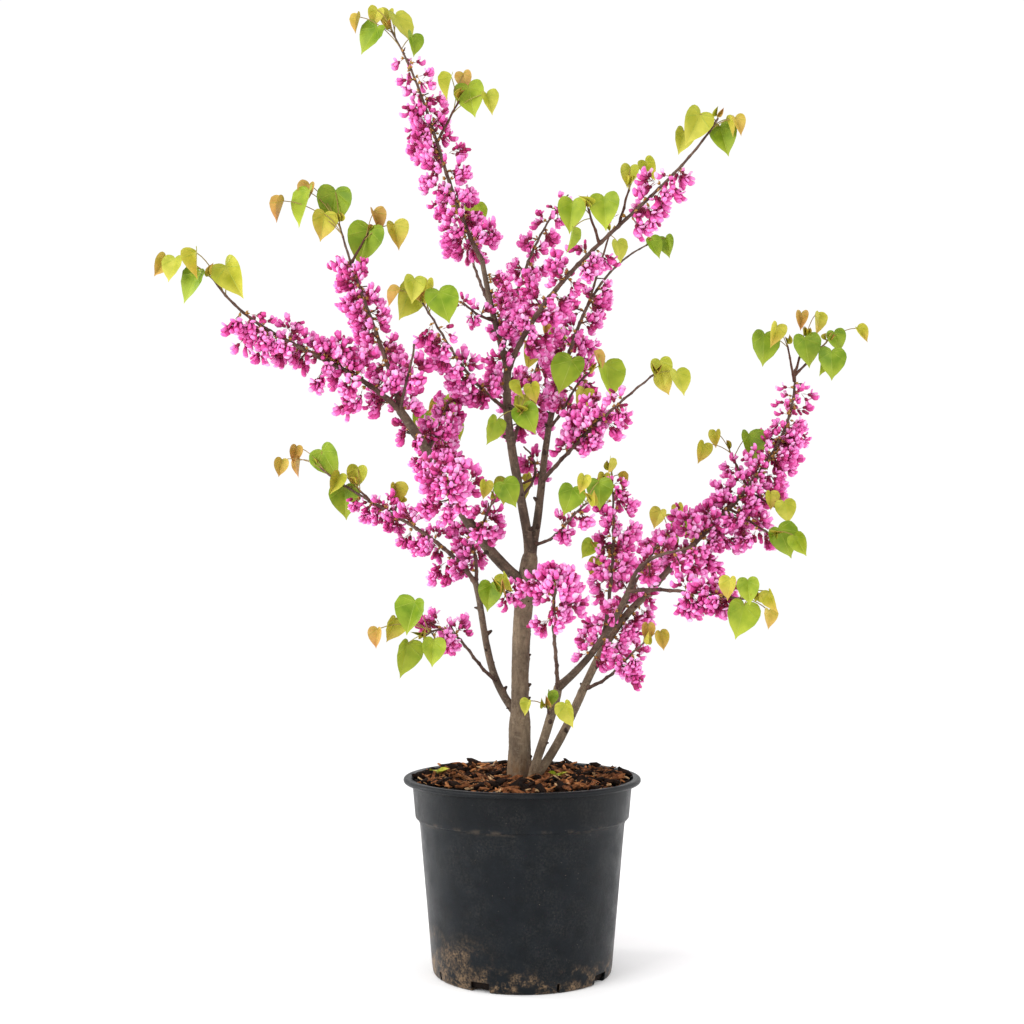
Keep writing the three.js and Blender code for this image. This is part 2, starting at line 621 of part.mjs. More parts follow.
for (const [name, { stem, twigs, random }] of Object.entries(masses)) {
  for (const leaf of [stem, ...twigs].flatMap((twig) => leavesRound(name, twig, random))) {
    place(name, rodsOfLeaf(leaf, name), () => leafSolid(leaf));
  }
}
for (const [name, { stem, twigs, random }] of Object.entries(masses)) {
  const inBlossom = [stem, ...twigs].filter((twig) => twig.spec.blossom);
  for (const spray of inBlossom.flatMap((twig) => spraysAlong(twig, random))) {
    place(name, rodsOfSpray(spray, name), () => spraySolid(spray));
  }
}

// Each piece is cut clear of the wood made before it, wherever the two come close.
const woodBefore = [];
function cutClear(shape) {
  const { min, max } = shape.boundingBox();
  const near = woodBefore.filter((grown) => {
    const box = grown.boundingBox();
    return [0, 1, 2].every((k) => box.min[k] < max[k] && box.max[k] > min[k]);
  });
  return near.reduce((cut, grown) => cut.subtract(grown), shape);
}

// Adds a mesh to its group, with its origin at the whole millimetres nearest to its root.
function addMesh(group, name, geometry, material, root = new THREE.Vector3()) {
  const origin = root.clone().round();
  const mesh = new THREE.Mesh(geometry.translate(-origin.x, -origin.y, -origin.z), material);
  mesh.name = name;
  mesh.position.copy(origin);
  group.add(mesh);
}

const container = new THREE.Group();
addMesh(container, 'pot', makePot(), PLASTIC);
addMesh(container, 'mulch', makeMulch(), BARK_MULCH);

const wood = new THREE.Group();
for (const [name, limb] of Object.entries(limbs)) {
  const sides = name === 'trunk' ? TRUNK_SIDES : BOUGH_SIDES;
  const shape = cutClear(loftLimb(limb, sides)).subtract(belowGround);
  addMesh(wood, name, geometryOf(shape), BARK, limb.root);
  woodBefore.push(loftLimb(limb, sides, CLEAR));
}

const crown = new THREE.Group();
for (const [name, { stem, twigs, parts }] of Object.entries(masses)) {
  const twigSolids = twigs.map((twig) => loftLimb(twig, TWIG_SIDES));
  const shape = wasm.Manifold.union([loftLimb(stem, STEM_SIDES), ...twigSolids, ...parts]);
  addMesh(crown, name, geometryOf(cutClear(shape)), BLOSSOM, stem.root);
  woodBefore.push(loftLimb(stem, STEM_SIDES, CLEAR));
  woodBefore.push(...twigs.map((twig) => loftLimb(twig, TWIG_SIDES, CLEAR)));
}

const tree = new THREE.Group();
tree.add(container, wood, crown);

export default tree;
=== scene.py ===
import math

import bmesh
import bpy
import numpy as np
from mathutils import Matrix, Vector, noise


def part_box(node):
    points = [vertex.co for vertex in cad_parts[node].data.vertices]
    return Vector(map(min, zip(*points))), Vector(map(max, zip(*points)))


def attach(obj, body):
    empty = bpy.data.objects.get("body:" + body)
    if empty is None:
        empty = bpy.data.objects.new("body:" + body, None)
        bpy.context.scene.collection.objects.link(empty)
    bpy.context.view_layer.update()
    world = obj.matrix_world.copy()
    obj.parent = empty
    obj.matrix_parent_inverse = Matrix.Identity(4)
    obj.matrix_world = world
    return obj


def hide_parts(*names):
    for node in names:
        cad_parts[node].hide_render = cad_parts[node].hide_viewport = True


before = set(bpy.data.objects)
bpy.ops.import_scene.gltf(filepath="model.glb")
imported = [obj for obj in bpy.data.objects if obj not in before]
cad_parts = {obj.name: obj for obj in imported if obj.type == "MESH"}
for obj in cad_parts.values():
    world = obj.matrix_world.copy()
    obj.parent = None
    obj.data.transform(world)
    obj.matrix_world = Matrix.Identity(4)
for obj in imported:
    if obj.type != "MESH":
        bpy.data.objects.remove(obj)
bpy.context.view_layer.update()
scene = bpy.context.scene

# The camera stands 1.7 m in front of the tree, at the height of its fork, and looks up a little.
# Its frame is square, and its lens takes in the plant from the foot of the pot to the top leaves.
FRAME_PIXELS = 1024
FOCAL_PIXELS = 1451
SENSOR_WIDTH = 36.0
FARTHEST_VIEW = 100
VIEW_POINT = (-0.012, -1.729, 0.467)
PITCH = math.radians(2.4)

camera_data = bpy.data.cameras.new("camera")
camera_data.sensor_width = SENSOR_WIDTH
camera_data.lens = FOCAL_PIXELS / FRAME_PIXELS * SENSOR_WIDTH
camera_data.clip_end = FARTHEST_VIEW
camera = bpy.data.objects.new("camera", camera_data)
camera.location = VIEW_POINT
camera.rotation_euler = (math.pi / 2 + PITCH, 0, 0)
scene.collection.objects.link(camera)
scene.camera = camera

# The studio is a white floor under an even white sky. One large soft light stands on the left and
# a weaker one on the right, and a tall narrow one at either side draws the streaks on the pot.
SKY_STRENGTH = 1.03
FLOOR_WHITE = 0.985
FLOOR_ROUGHNESS = 0.9
FLOOR_SIZE = 60.0
LIGHTS = {
    "key": ((-1.9, -1.8, 1.35), (0, 0, 0.55), (1.6, 1.6), 47),
    "fill": ((2.2, -1.1, 1.0), (0, 0, 0.4), (1.4, 1.4), 14.5),
    "left_strip": ((-1.6, 0.35, 0.5), (0, 0, 0.3), (0.3, 1.4), 11.5),
    "right_strip": ((1.6, 0.25, 0.5), (0, 0, 0.3), (0.3, 1.4), 4.5),
}

scene.view_settings.view_transform = "Standard"
sky = bpy.data.worlds.new("sky")
sky.use_nodes = True
sky_look = sky.node_tree.nodes["Background"].inputs
sky_look["Color"].default_value = (1, 1, 1, 1)
sky_look["Strength"].default_value = SKY_STRENGTH
scene.world = sky

for name, (place, aim, size, watts) in LIGHTS.items():
    light = bpy.data.lights.new(name, "AREA")
    light.shape = "RECTANGLE"
    light.size, light.size_y = size
    light.energy = watts
    holder = bpy.data.objects.new(name, light)
    holder.location = place
    holder.rotation_euler = (Vector(aim) - holder.location).to_track_quat("-Z", "Y").to_euler()
    scene.collection.objects.link(holder)

bpy.ops.mesh.primitive_plane_add(size=FLOOR_SIZE)
floor = bpy.context.object
floor.name = "floor"
floor_paint = bpy.data.materials.new("floor_paint")
floor_paint.use_nodes = True
floor_look = floor_paint.node_tree.nodes["Principled BSDF"].inputs
floor_look["Base Color"].default_value = (FLOOR_WHITE,) * 3 + (1,)
floor_look["Roughness"].default_value = FLOOR_ROUGHNESS
floor_look["Specular IOR Level"].default_value = 0.0
floor.data.materials.append(floor_paint)


# The pot is one injection moulding in black plastic: a tapered body, a collar that is stepped out
# above it and a rolled rim. Four wide notches and four slits in its foot let the water out. It has
# a soft sheen, a little dust all over and dried soil round the foot, most of it on the left.
MM = 0.001
RIM_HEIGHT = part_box("pot")[1].z
RIM_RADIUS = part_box("pot")[1].x
SHARP_EDGE = 35
BEAD_RADIUS = 3.3 * MM
COLLAR_TOP = 130 * MM
COLLAR_FOOT = 126 * MM
STEP_HEIGHT = 182 * MM
STEP_RISE = 3 * MM
BODY_TOP = 121.5 * MM
FOOT_RADIUS = 105 * MM
FOOT_EASE = 4 * MM
WALL = 1.8 * MM
FLOOR_THICKNESS = 2.5 * MM
POT_SIDES = 224
NOTCH = {"width": 23 * MM, "height": 11.5 * MM, "turns": (-27, 57, 147, 237)}
SLIT = {"width": 3.5 * MM, "height": 11 * MM, "turns": (-62, 22, 112, 202)}
CUT_DEPTH = 28 * MM


def paint(red, green, blue):
    """A colour as the eye reads it, 0 to 255, in the linear numbers that a shader takes."""
    shares = np.array([red, green, blue]) / 255
    linear = np.where(shares > 0.04045, ((shares + 0.055) / 1.055) ** 2.4, shares / 12.92)
    return (*[float(value) for value in linear], 1.0)


def add_node(tree, kind, inputs, **settings):
    """A node with its settings. Each of its inputs takes a value, or the socket that feeds it."""
    node = tree.nodes.new(kind)
    for label, value in settings.items():
        setattr(node, label, value)
    for key, value in inputs.items():
        if isinstance(value, bpy.types.NodeSocket):
            tree.links.new(value, node.inputs[key])
        else:
            node.inputs[key].default_value = value
    return node


def start_group(name, kind, inputs, output):
    """A node group with its sockets. Returns its tree and the sockets that its inputs come in by."""
    tree = bpy.data.node_groups.new(name, kind)
    for label, socket_kind in inputs.items():
        tree.interface.new_socket(label, in_out="INPUT", socket_type="NodeSocket" + socket_kind)
    tree.interface.new_socket(output[0], in_out="OUTPUT", socket_type="NodeSocket" + output[1])
    return tree, tree.nodes.new("NodeGroupInput").outputs


def make_mottle():
    """Shader group: a soft patchy mask, nothing below Low and full above High."""
    sockets = {"Vector": "Vector"} | dict.fromkeys(("Scale", "Detail", "Low", "High"), "Float")
    tree, given = start_group("mottle", "ShaderNodeTree", sockets, ("Mask", "Float"))
    grain = {label: given[label] for label in ("Vector", "Scale", "Detail")}
    cloud = add_node(tree, "ShaderNodeTexNoise", {**grain, "Roughness": 0.66})
    limits = {"Value": cloud.outputs["Fac"], "From Min": given["Low"], "From Max": given["High"]}
    spread = add_node(tree, "ShaderNodeMapRange", limits)
    add_node(tree, "NodeGroupOutput", {"Mask": spread.outputs["Result"]})
    return tree


mottle = make_mottle()


class Finish:
    """A material under way: its Principled shader and the patterns that feed it."""

    def __init__(self, name, base, roughness=0.6, specular=0.5, attribute=None, stretch=(1, 1, 1)):
        self.material = bpy.data.materials.new(name)
        self.material.use_nodes = True
        self.shader = self.material.node_tree.nodes["Principled BSDF"]
        self.shader.inputs["Roughness"].default_value = roughness
        self.shader.inputs["Specular IOR Level"].default_value = specular
        if attribute:
            self.place = self.add("ShaderNodeAttribute", {}, attribute_name=attribute).outputs["Vector"]
        else:
            self.place = self.add("ShaderNodeTexCoord", {}).outputs["Object"]
        self.pattern = self.stretched(stretch)
        self.look = base

    def add(self, kind, inputs, **settings):
        return add_node(self.material.node_tree, kind, inputs, **settings)

    def feed(self, socket, label):
        self.material.node_tree.links.new(socket, self.shader.inputs[label])

    def stretched(self, stretch):
        return self.add("ShaderNodeMapping", {"Vector": self.place, "Scale": stretch}).outputs["Vector"]

    def patches(self, scale, low, high, detail=4.0, stretch=None):
        """A soft patchy mask of so many patches a metre."""
        pattern = self.stretched(stretch) if stretch else self.pattern
        values = {"Vector": pattern, "Scale": scale, "Detail": detail, "Low": low, "High": high}
        return self.add("ShaderNodeGroup", values, node_tree=mottle).outputs["Mask"]

    def ramp(self, axis, start, stop):
        """A mask that is full at start and nothing at stop, along x, y or z."""
        along = self.add("ShaderNodeSeparateXYZ", {"Vector": self.place}).outputs[axis]
        limits = {"Value": along, "From Min": stop, "From Max": start}
        return self.add("ShaderNodeMapRange", limits).outputs["Result"]

    def product(self, *masks):
        result = masks[0]
        for mask in masks[1:]:
            result = self.add("ShaderNodeMath", {0: result, 1: mask}, operation="MULTIPLY").outputs["Value"]
        return result

    def blend(self, mask, below, above):
        """Colour below where the mask is nothing, and above where it is full."""
        return self.add("ShaderNodeMix", {0: mask, 6: below, 7: above}, data_type="RGBA").outputs[2]

    def coat(self, colour, *masks):
        """Lays a colour over the ones before it, as far as the product of the masks is full."""
        self.look = self.blend(self.product(*masks), self.look, colour)
        self.feed(self.look, "Base Color")

    def gloss(self, mask, smooth, rough):
        spread = self.add("ShaderNodeMapRange", {"Value": mask, "To Min": smooth, "To Max": rough})
        self.feed(spread.outputs["Result"], "Roughness")

    def relief(self, mask, depth):
        self.feed(self.add("ShaderNodeBump", {"Distance": depth, "Height": mask}).outputs["Normal"], "Normal")


def arc(middle, radius, start, stop, steps):
    """Points of a round stretch of a profile, from one angle to another, in degrees."""
    angles = np.radians(np.linspace(start, stop, steps))
    return [(middle[0] + radius * math.cos(a), middle[1] + radius * math.sin(a)) for a in angles]


def ring_faces(rings, sides, first=0):
    """Quads from each ring of points to the next, for rings that follow on from the first point."""
    ring = np.arange(sides)
    after = (ring + 1) % sides
    low = first + sides * np.arange(rings - 1).reshape(-1, 1)
    corners = (low + ring, low + after, low + sides + after, low + sides + ring)
    return np.stack(corners, axis=2).reshape(-1, 4)


def tube_faces(rings, sides, first, foot, top):
    """Faces of a closed tube: a fan round the point at its foot, its rings and a fan at its top."""
    ring = np.arange(sides)
    after = (ring + 1) % sides
    low = first + (rings - 1) * sides
    opening = np.stack([np.full(sides, foot), first + after, first + ring, first + ring], axis=1)
    ending = np.stack([low + ring, low + after, np.full(sides, top), np.full(sides, top)], axis=1)
    return np.concatenate([opening, ring_faces(rings, sides, first), ending])


def turned(profile, sides):
    """Points and faces of a round body whose profile starts and ends on its axis."""
    turns = [2 * math.pi * k / sides for k in range(sides)]
    points = [(0, 0, profile[0][1])]
    points += [(out * math.cos(turn), out * math.sin(turn), z) for out, z in profile[1:-1] for turn in turns]
    points += [(0, 0, profile[-1][1])]
    last = len(points) - 1
    faces = []
    for k in range(sides):
        after = (k + 1) % sides
        faces += [(0, 1 + after, 1 + k), (last, last - sides + k, last - sides + after)]
    return points, faces + ring_faces(len(profile) - 2, sides, 1).tolist()


def make_mesh(name, points, faces, sharp=None):
    mesh = bpy.data.meshes.new(name)
    mesh.from_pydata(points, [], faces)
    mesh.shade_smooth()
    if sharp:
        mesh.set_sharp_from_angle(angle=math.radians(sharp))
    return mesh


def add_object(name, mesh):
    piece = bpy.data.objects.new(name, mesh)
    scene.collection.objects.link(piece)
    return piece


def as_made(piece):
    """Leaves a piece with the plain mesh that its modifiers give."""
    dressed = piece.evaluated_get(bpy.context.evaluated_depsgraph_get())
    mesh = bpy.data.meshes.new_from_object(dressed)
    piece.modifiers.clear()
    piece.data = mesh


def fix(piece, slot, *nodes):
    """The piece moves with the plant and stands for the nodes, whose parts it hides. The slot is not used."""
    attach(piece, "root")
    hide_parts(*nodes)


bead_middle = (RIM_RADIUS - BEAD_RADIUS, RIM_HEIGHT - BEAD_RADIUS)
pot_profile = [(0, 0)]
pot_profile += arc((FOOT_RADIUS - FOOT_EASE, FOOT_EASE), FOOT_EASE, -90, 0, 6)
for share in np.linspace(0.05, 0.95, 7):
    pot_profile.append((FOOT_RADIUS + (BODY_TOP - FOOT_RADIUS) * share, STEP_HEIGHT * share))
pot_profile += arc((COLLAR_FOOT - STEP_RISE * 0.8, STEP_HEIGHT), STEP_RISE * 0.8, -100, 0, 5)
pot_profile += [(COLLAR_TOP - 0.5 * MM, bead_middle[1] - BEAD_RADIUS - 1 * MM)]
pot_profile += [(COLLAR_TOP + 0.5 * MM, bead_middle[1] - BEAD_RADIUS)]
pot_profile += arc(bead_middle, BEAD_RADIUS, -80, 100, 11)
pot_profile += [(COLLAR_TOP + 1 * MM, RIM_HEIGHT - 0.6 * MM), (COLLAR_TOP - 0.6 * MM, RIM_HEIGHT - 3 * MM)]
pot_profile += [(COLLAR_FOOT - WALL, STEP_HEIGHT), (BODY_TOP - WALL, STEP_HEIGHT - STEP_RISE)]
pot_profile += [(FOOT_RADIUS - WALL, FLOOR_THICKNESS + WALL), (FOOT_RADIUS - WALL * 2, FLOOR_THICKNESS)]
pot_profile += [(0, FLOOR_THICKNESS)]

pot = add_object("nursery_pot", make_mesh("nursery_pot", *turned(pot_profile, POT_SIDES)))
cut = bmesh.new()
for opening in (NOTCH, SLIT):
    for degrees in opening["turns"]:
        made = bmesh.ops.create_cube(cut, size=1)["verts"]
        turn = math.radians(degrees)
        for vert in made:
            across = vert.co.x * opening["width"]
            inwards = FOOT_RADIUS + vert.co.y * CUT_DEPTH
            height = vert.co.z * 2 * opening["height"]
            x = inwards * math.sin(turn) - across * math.cos(turn)
            y = -inwards * math.cos(turn) - across * math.sin(turn)
            vert.co = (x, y, height)
cut_mesh = bpy.data.meshes.new("openings")
cut.to_mesh(cut_mesh)
cut.free()
openings = add_object("openings", cut_mesh)
boolean = pot.modifiers.new("openings", "BOOLEAN")
boolean.object = openings
boolean.operation = "DIFFERENCE"
boolean.solver = "EXACT"
as_made(pot)
bpy.data.objects.remove(openings)
pot.data.shade_smooth()
pot.data.set_sharp_from_angle(angle=math.radians(SHARP_EDGE))

plastic = Finish("black_plastic", paint(7, 12, 16), specular=0.15)
plastic.coat(paint(17, 22, 27), plastic.patches(60, 0.35, 0.7, 8.0))
# Painted shade: the collar and the rim above the step are made darker than the body.
plastic.coat(paint(3, 5, 8), plastic.ramp("Z", STEP_HEIGHT + 8 * MM, STEP_HEIGHT), 0.45)
clouds = plastic.patches(24, 0.42, 0.72, 4.0)
plastic.coat(paint(92, 88, 82), plastic.patches(420, 0.42, 0.7, 6.0), clouds, 0.2)
plastic.coat(paint(150, 140, 124), plastic.patches(520, 0.74, 0.78, 2.0), 0.6)
# Painted highlight: a pale, broken line just under the step, along the lower edge of the collar.
under_ledge = plastic.ramp("Z", STEP_HEIGHT - 2.5 * MM, STEP_HEIGHT - 6 * MM)
ledge_highlight = plastic.product(plastic.ramp("Z", STEP_HEIGHT - 1 * MM, STEP_HEIGHT + 3 * MM), under_ledge)
plastic.coat(paint(112, 98, 82), ledge_highlight, plastic.patches(70, 0.5, 0.64, 8.0), 0.24)
soil = plastic.blend(plastic.patches(140, 0.4, 0.6, 6.0), paint(74, 60, 46), paint(122, 100, 76))
grains = plastic.product(plastic.patches(380, 0.38, 0.6, 14.0), plastic.patches(120, 0.36, 0.56, 8.0))
low_left = plastic.product(plastic.ramp("Z", 0, 66 * MM), plastic.ramp("X", -85 * MM, -28 * MM))
plastic.coat(soil, low_left, plastic.patches(40, 0.42, 0.6, 9.0), grains, 3.2)
foot = plastic.ramp("Z", 3 * MM, 32 * MM)
plastic.coat(soil, foot, plastic.patches(46, 0.46, 0.57, 9.0), grains, 2.2)
plastic.gloss(plastic.patches(34, 0.35, 0.7, 8.0), 0.3, 0.5)
plastic.relief(plastic.patches(900, 0.3, 0.7), 0.0001)
pot.data.materials.clear()
pot.data.materials.append(plastic.material)
fix(pot, "pot", "pot")

# The mulch is a bed of composted bark, heaped a little round the stems, 10 mm under the rim at the
# wall. It is one closed body whose top is worked rough, and loose chips lie in heaps all over it.
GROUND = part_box("mulch")[1].z
BED_RADIUS = 127.2 * MM
BED_EDGE = 222.6 * MM
BED_FOOT = 3.2 * MM
BED_RINGS = 44
BED_SIDES = 120
HEAP = 0.055
BANK = 6 * MM
HEAP_STEEPNESS = 0.12
BANK_BACK = 0.25
LUMPS = {"per_metre": 60, "height": 2.2}
CRUMBS = {"per_metre": 210, "height": 1.3}
BED_SUNK = 3.2
CHIPS = {
    "chips_dark": ((23, 11, 4.0), 5200, 11, (0.4, 1.2), (12, 7, 5), (42, 26, 17)),
    "chips_red": ((25, 7.5, 3.0), 4400, 23, (0.35, 1.15), (76, 45, 27), (150, 95, 57)),
    "chips_orange": ((21, 4.6, 2.0), 4000, 37, (0.3, 1.15), (138, 88, 52), (208, 140, 88)),
    "chips_tan": ((15, 3.2, 1.6), 1800, 53, (0.35, 1.2), (166, 126, 86), (216, 180, 136)),
    "splinters": ((30, 2.4, 1.5), 3800, 71, (0.4, 1.15), (64, 41, 27), (168, 118, 78)),
}
TILT = 0.6
LIFT = 7 * MM
RIM_COVER = 11.0
CHIP_CORNERS = 7


def seeded(seed):
    """A repeatable stream of numbers from 0 to 1."""
    state = seed

    def draw():
        nonlocal state
        state = (state * 1664525 + 1013904223) % 4294967296
        return state / 4294967296

    return draw


def bed_height(x, y):
    """Height of the mulch: heaped round the stems, lower at the wall, and rough."""
    away = math.hypot(x, y)
    heap = BED_EDGE + (GROUND + 2 * MM - BED_EDGE) * math.exp(-((away / HEAP) ** 4) * HEAP_STEEPNESS)
    for layer, bumps in enumerate((LUMPS, CRUMBS)):
        place = Vector((x * bumps["per_metre"], y * bumps["per_metre"], layer * 5))
        heap += noise.noise(place) * bumps["height"] * MM
    bank = BANK * (away / BED_RADIUS) ** 3 * (1 - BANK_BACK + BANK_BACK * y / BED_RADIUS)
    return heap + bank - BED_SUNK * MM


bed_profile = [(0, BED_FOOT), (FOOT_RADIUS - 4.4 * MM, BED_FOOT)]
bed_profile += [(BODY_TOP - 2.4 * MM, STEP_HEIGHT - STEP_RISE)]
bed_profile += [(COLLAR_FOOT - 2.4 * MM, STEP_HEIGHT + 1 * MM)]
bed_profile += [(BED_RADIUS * share, BED_EDGE) for share in np.linspace(1, 0.02, BED_RINGS)]
bed_profile += [(0, BED_EDGE)]
bed_points, bed_faces = turned(bed_profile, BED_SIDES)
bed_points = [(x, y, bed_height(x, y)) if z == BED_EDGE else (x, y, z) for x, y, z in bed_points]
bed = add_object("mulch_bed", make_mesh("mulch_bed", bed_points, bed_faces))
# The bed is dark humus. It is also painted near black as shade for the gaps between the chips.
humus_and_gap_shade = Finish("humus_and_gap_shade", paint(12, 8, 6), roughness=0.95, specular=0.2)
humus_and_gap_shade.coat(paint(36, 23, 16), humus_and_gap_shade.patches(300, 0.35, 0.65))
humus_and_gap_shade.relief(humus_and_gap_shade.patches(700, 0.3, 0.7), 0.0008)
bed.data.materials.append(humus_and_gap_shade.material)
fix(bed, "mulch", "mulch")


def make_chip(name, size, random):
    """One chip: a thin slab with broken edges, lying flat round the origin."""
    length, width, thickness = (value * MM for value in size)
    reach = [0.72 + 0.4 * random() for _ in range(CHIP_CORNERS)]
    points = []
    for lift, shrink in ((-0.5, 0.8), (0.1, 1.0), (0.5, 0.78)):
        for k, out in enumerate(reach):
            angle = 2 * math.pi * k / CHIP_CORNERS
            x = length / 2 * out * shrink * math.cos(angle)
            y = width / 2 * out * shrink * math.sin(angle)
            points.append((x, y, thickness * (lift + 0.35 * (random() - 0.5))))
    faces = [tuple(reversed(range(CHIP_CORNERS))), tuple(range(2 * CHIP_CORNERS, 3 * CHIP_CORNERS))]
    faces += ring_faces(3, CHIP_CORNERS).tolist()
    return make_mesh(name, points, faces, sharp=40)


def make_scatter():
    """Geometry Nodes: copies of a chip over a bed, turned every way and lying nearly flat."""
    sockets = {"Bed": "Geometry", "Chip": "Object", "Chips per square metre": "Float", "Seed": "Int"}
    sockets |= {"Smallest": "Float", "Largest": "Float", "Lowest turn": "Vector", "Highest turn": "Vector"}
    sockets |= {"Highest lift": "Vector", "Finish": "Material"}
    tree, given = start_group("scatter_chips", "GeometryNodeTree", sockets, ("Chips", "Geometry"))
    seed = {"Seed": given["Seed"]}

    def add(kind, inputs, **settings):
        return add_node(tree, kind, inputs, **settings).outputs

    def drawn(kind, smallest, largest):
        return add("FunctionNodeRandomValue", {**smallest, **largest, **seed}, data_type=kind)

    density = {"Mesh": given["Bed"], "Density": given["Chips per square metre"]}
    spots = add("GeometryNodeDistributePointsOnFaces", {**density, **seed})
    shape = add("GeometryNodeObjectInfo", {"Object": given["Chip"]})
    turns = drawn("FLOAT_VECTOR", {0: given["Lowest turn"]}, {1: given["Highest turn"]})
    lifts = drawn("FLOAT_VECTOR", {0: (0, 0, 0)}, {1: given["Highest lift"]})
    sizes = drawn("FLOAT", {2: given["Smallest"]}, {3: given["Largest"]})
    euler = add("FunctionNodeEulerToRotation", {"Euler": turns[0]})
    lifted = add("GeometryNodeSetPosition", {"Geometry": spots["Points"], "Offset": lifts[0]})
    placed = {"Points": lifted["Geometry"], "Instance": shape["Geometry"]}
    placed |= {"Rotation": euler["Rotation"], "Scale": sizes[1]}
    copies = add("GeometryNodeInstanceOnPoints", placed)
    real = add("GeometryNodeRealizeInstances", {"Geometry": copies["Instances"]})
    dressed = add("GeometryNodeSetMaterial", {"Geometry": real["Geometry"], "Material": given["Finish"]})
    add("NodeGroupOutput", {"Chips": dressed["Geometry"]})
    return tree


scatter = make_scatter()
bed_top = [face for face in bed_faces if all(bed_points[k][2] > BED_EDGE - 9 * MM for k in face)]
for name, (size, per_m2, seed, scales, dark, light) in CHIPS.items():
    chip = add_object(name + "_one", make_chip(name + "_one", size, seeded(seed)))
    overhang = max(0, size[0] * scales[1] / 2 - RIM_COVER) * MM
    reach = BED_RADIUS - overhang
    ground = [face for face in bed_top if all(math.hypot(*bed_points[k][:2]) <= reach for k in face)]
    chips = add_object(name, make_mesh(name, bed_points, ground))
    bark_chip = Finish(name, paint(*dark), roughness=0.95, specular=0.12)
    bark_chip.coat(paint(*light), bark_chip.patches(170, 0.38, 0.62))
    bark_chip.relief(bark_chip.patches(900, 0.3, 0.7), 0.0009)
    modifier = chips.modifiers.new("scatter", "NODES")
    modifier.node_group = scatter
    values = {
        "Chip": chip,
        "Chips per square metre": float(per_m2),
        "Seed": seed,
        "Smallest": scales[0],
        "Largest": scales[1],
        "Lowest turn": (-TILT, -TILT, -math.pi),
        "Highest turn": (TILT, TILT, math.pi),
        "Highest lift": (0, 0, LIFT),
        "Finish": bark_chip.material,
    }
    for socket in scatter.interface.items_tree:
        if socket.name in values and socket.in_out == "INPUT":
            modifier[socket.identifier] = values[socket.name]
    as_made(chips)
    bpy.data.objects.remove(chip)
    fix(chips, "mulch", "mulch")

# The trunk and the main boughs carry smooth young bark, grey-brown and finely cracked lengthways,
# with knots where old twigs stood and a collar where each limb leaves another. Each limb is a
# skin lofted along the same centre line as its solid, in millimetres, and then given its relief.
LIMB_COLUMNS = ("on", "at", "tip", "bow", "sway", "radius", "flare")
LIMBS = {
    "trunk": (None, (-4, 10, 219), (10, 10, 487), (-5, 0), (2, 0), (12, 8), 5),
    "leader": ("trunk", 1, (-17, 0, 712), (-6, 0), (3, 1), (6, 4.2)),
    "bough_fork": ("trunk", 1, (45, 70, 692), (-2, -1), (3, 0), (5.6, 3.2)),
    "bough_left": ("trunk", 0.87, (-139, -80, 651), (-10, -2), (-5, -2), (6.8, 5)),
    "stem_left": ("trunk", 0.29, (-57, 70, 454), (-11, -6), (-4, -2), (5, 3.6)),
    "bough_top": ("leader", 1, (-48, 12, 844), (-2, -1), (0, 0), (3.9, 3)),
    "stem_front": (None, (8, -8, 214), (42, -20, 333), (1, 0), (-1, 0), (5.4, 4.6), 1.5),
    "bough_front": ("stem_front", 1, (126, -55, 455), (8, -5), (0, -1), (4.4, 3.2)),
    "stem_rear": (None, (16, 14, 214), (156, 50, 442), (-8, 4), (7, -5), (5.6, 4.2), 1.5),
}
RING_STEP = 38
FLARE_FALL = 14
ACROSS = np.array([0.8, 0.6, 0.0])
LENGTH_CHORDS = 200
BARK_STEP = 2.2
LIMB_SEED = 409
TRUNK_SIDES = 40
LIMB_SIDES = 24
BARK_WAVES = ((0.24, 0.03, 0.085), (0.7, 0.14, 0.022), (0.2, 0.7, 0.03))
KNOT_STEP = 30
KNOT_END = 8
KNOT_RISE = 1.1
KNOT_REACH = (2.6, 3.2)
KNOT_LIMIT = 6
THICKER_UNDER = 0.25
THICKER_FALL = 75
JOINT_BLEND = 5
THINNED_AT_JOINT = 0.03
COLLAR_SWELL = 0.35
COLLAR_FALL = 9
TOES = 3
TOE_FALL = 22
GRAIN_SHIFT = 40
STUB_LEAN = 0.45
STUB_WIDTHS = np.array([1.5, 1.25, 0.8])
DRAWN_FEET = {"stem_rear": (-11, -7, 0)}
DRAWN_FALL = 60


def unit(vector):
    return vector / np.linalg.norm(vector)


def square_to(heading):
    """Two directions square to a heading, the same for every limb that passes through a place."""
    right = unit(np.cross(heading, ACROSS))
    return right, np.cross(right, heading)


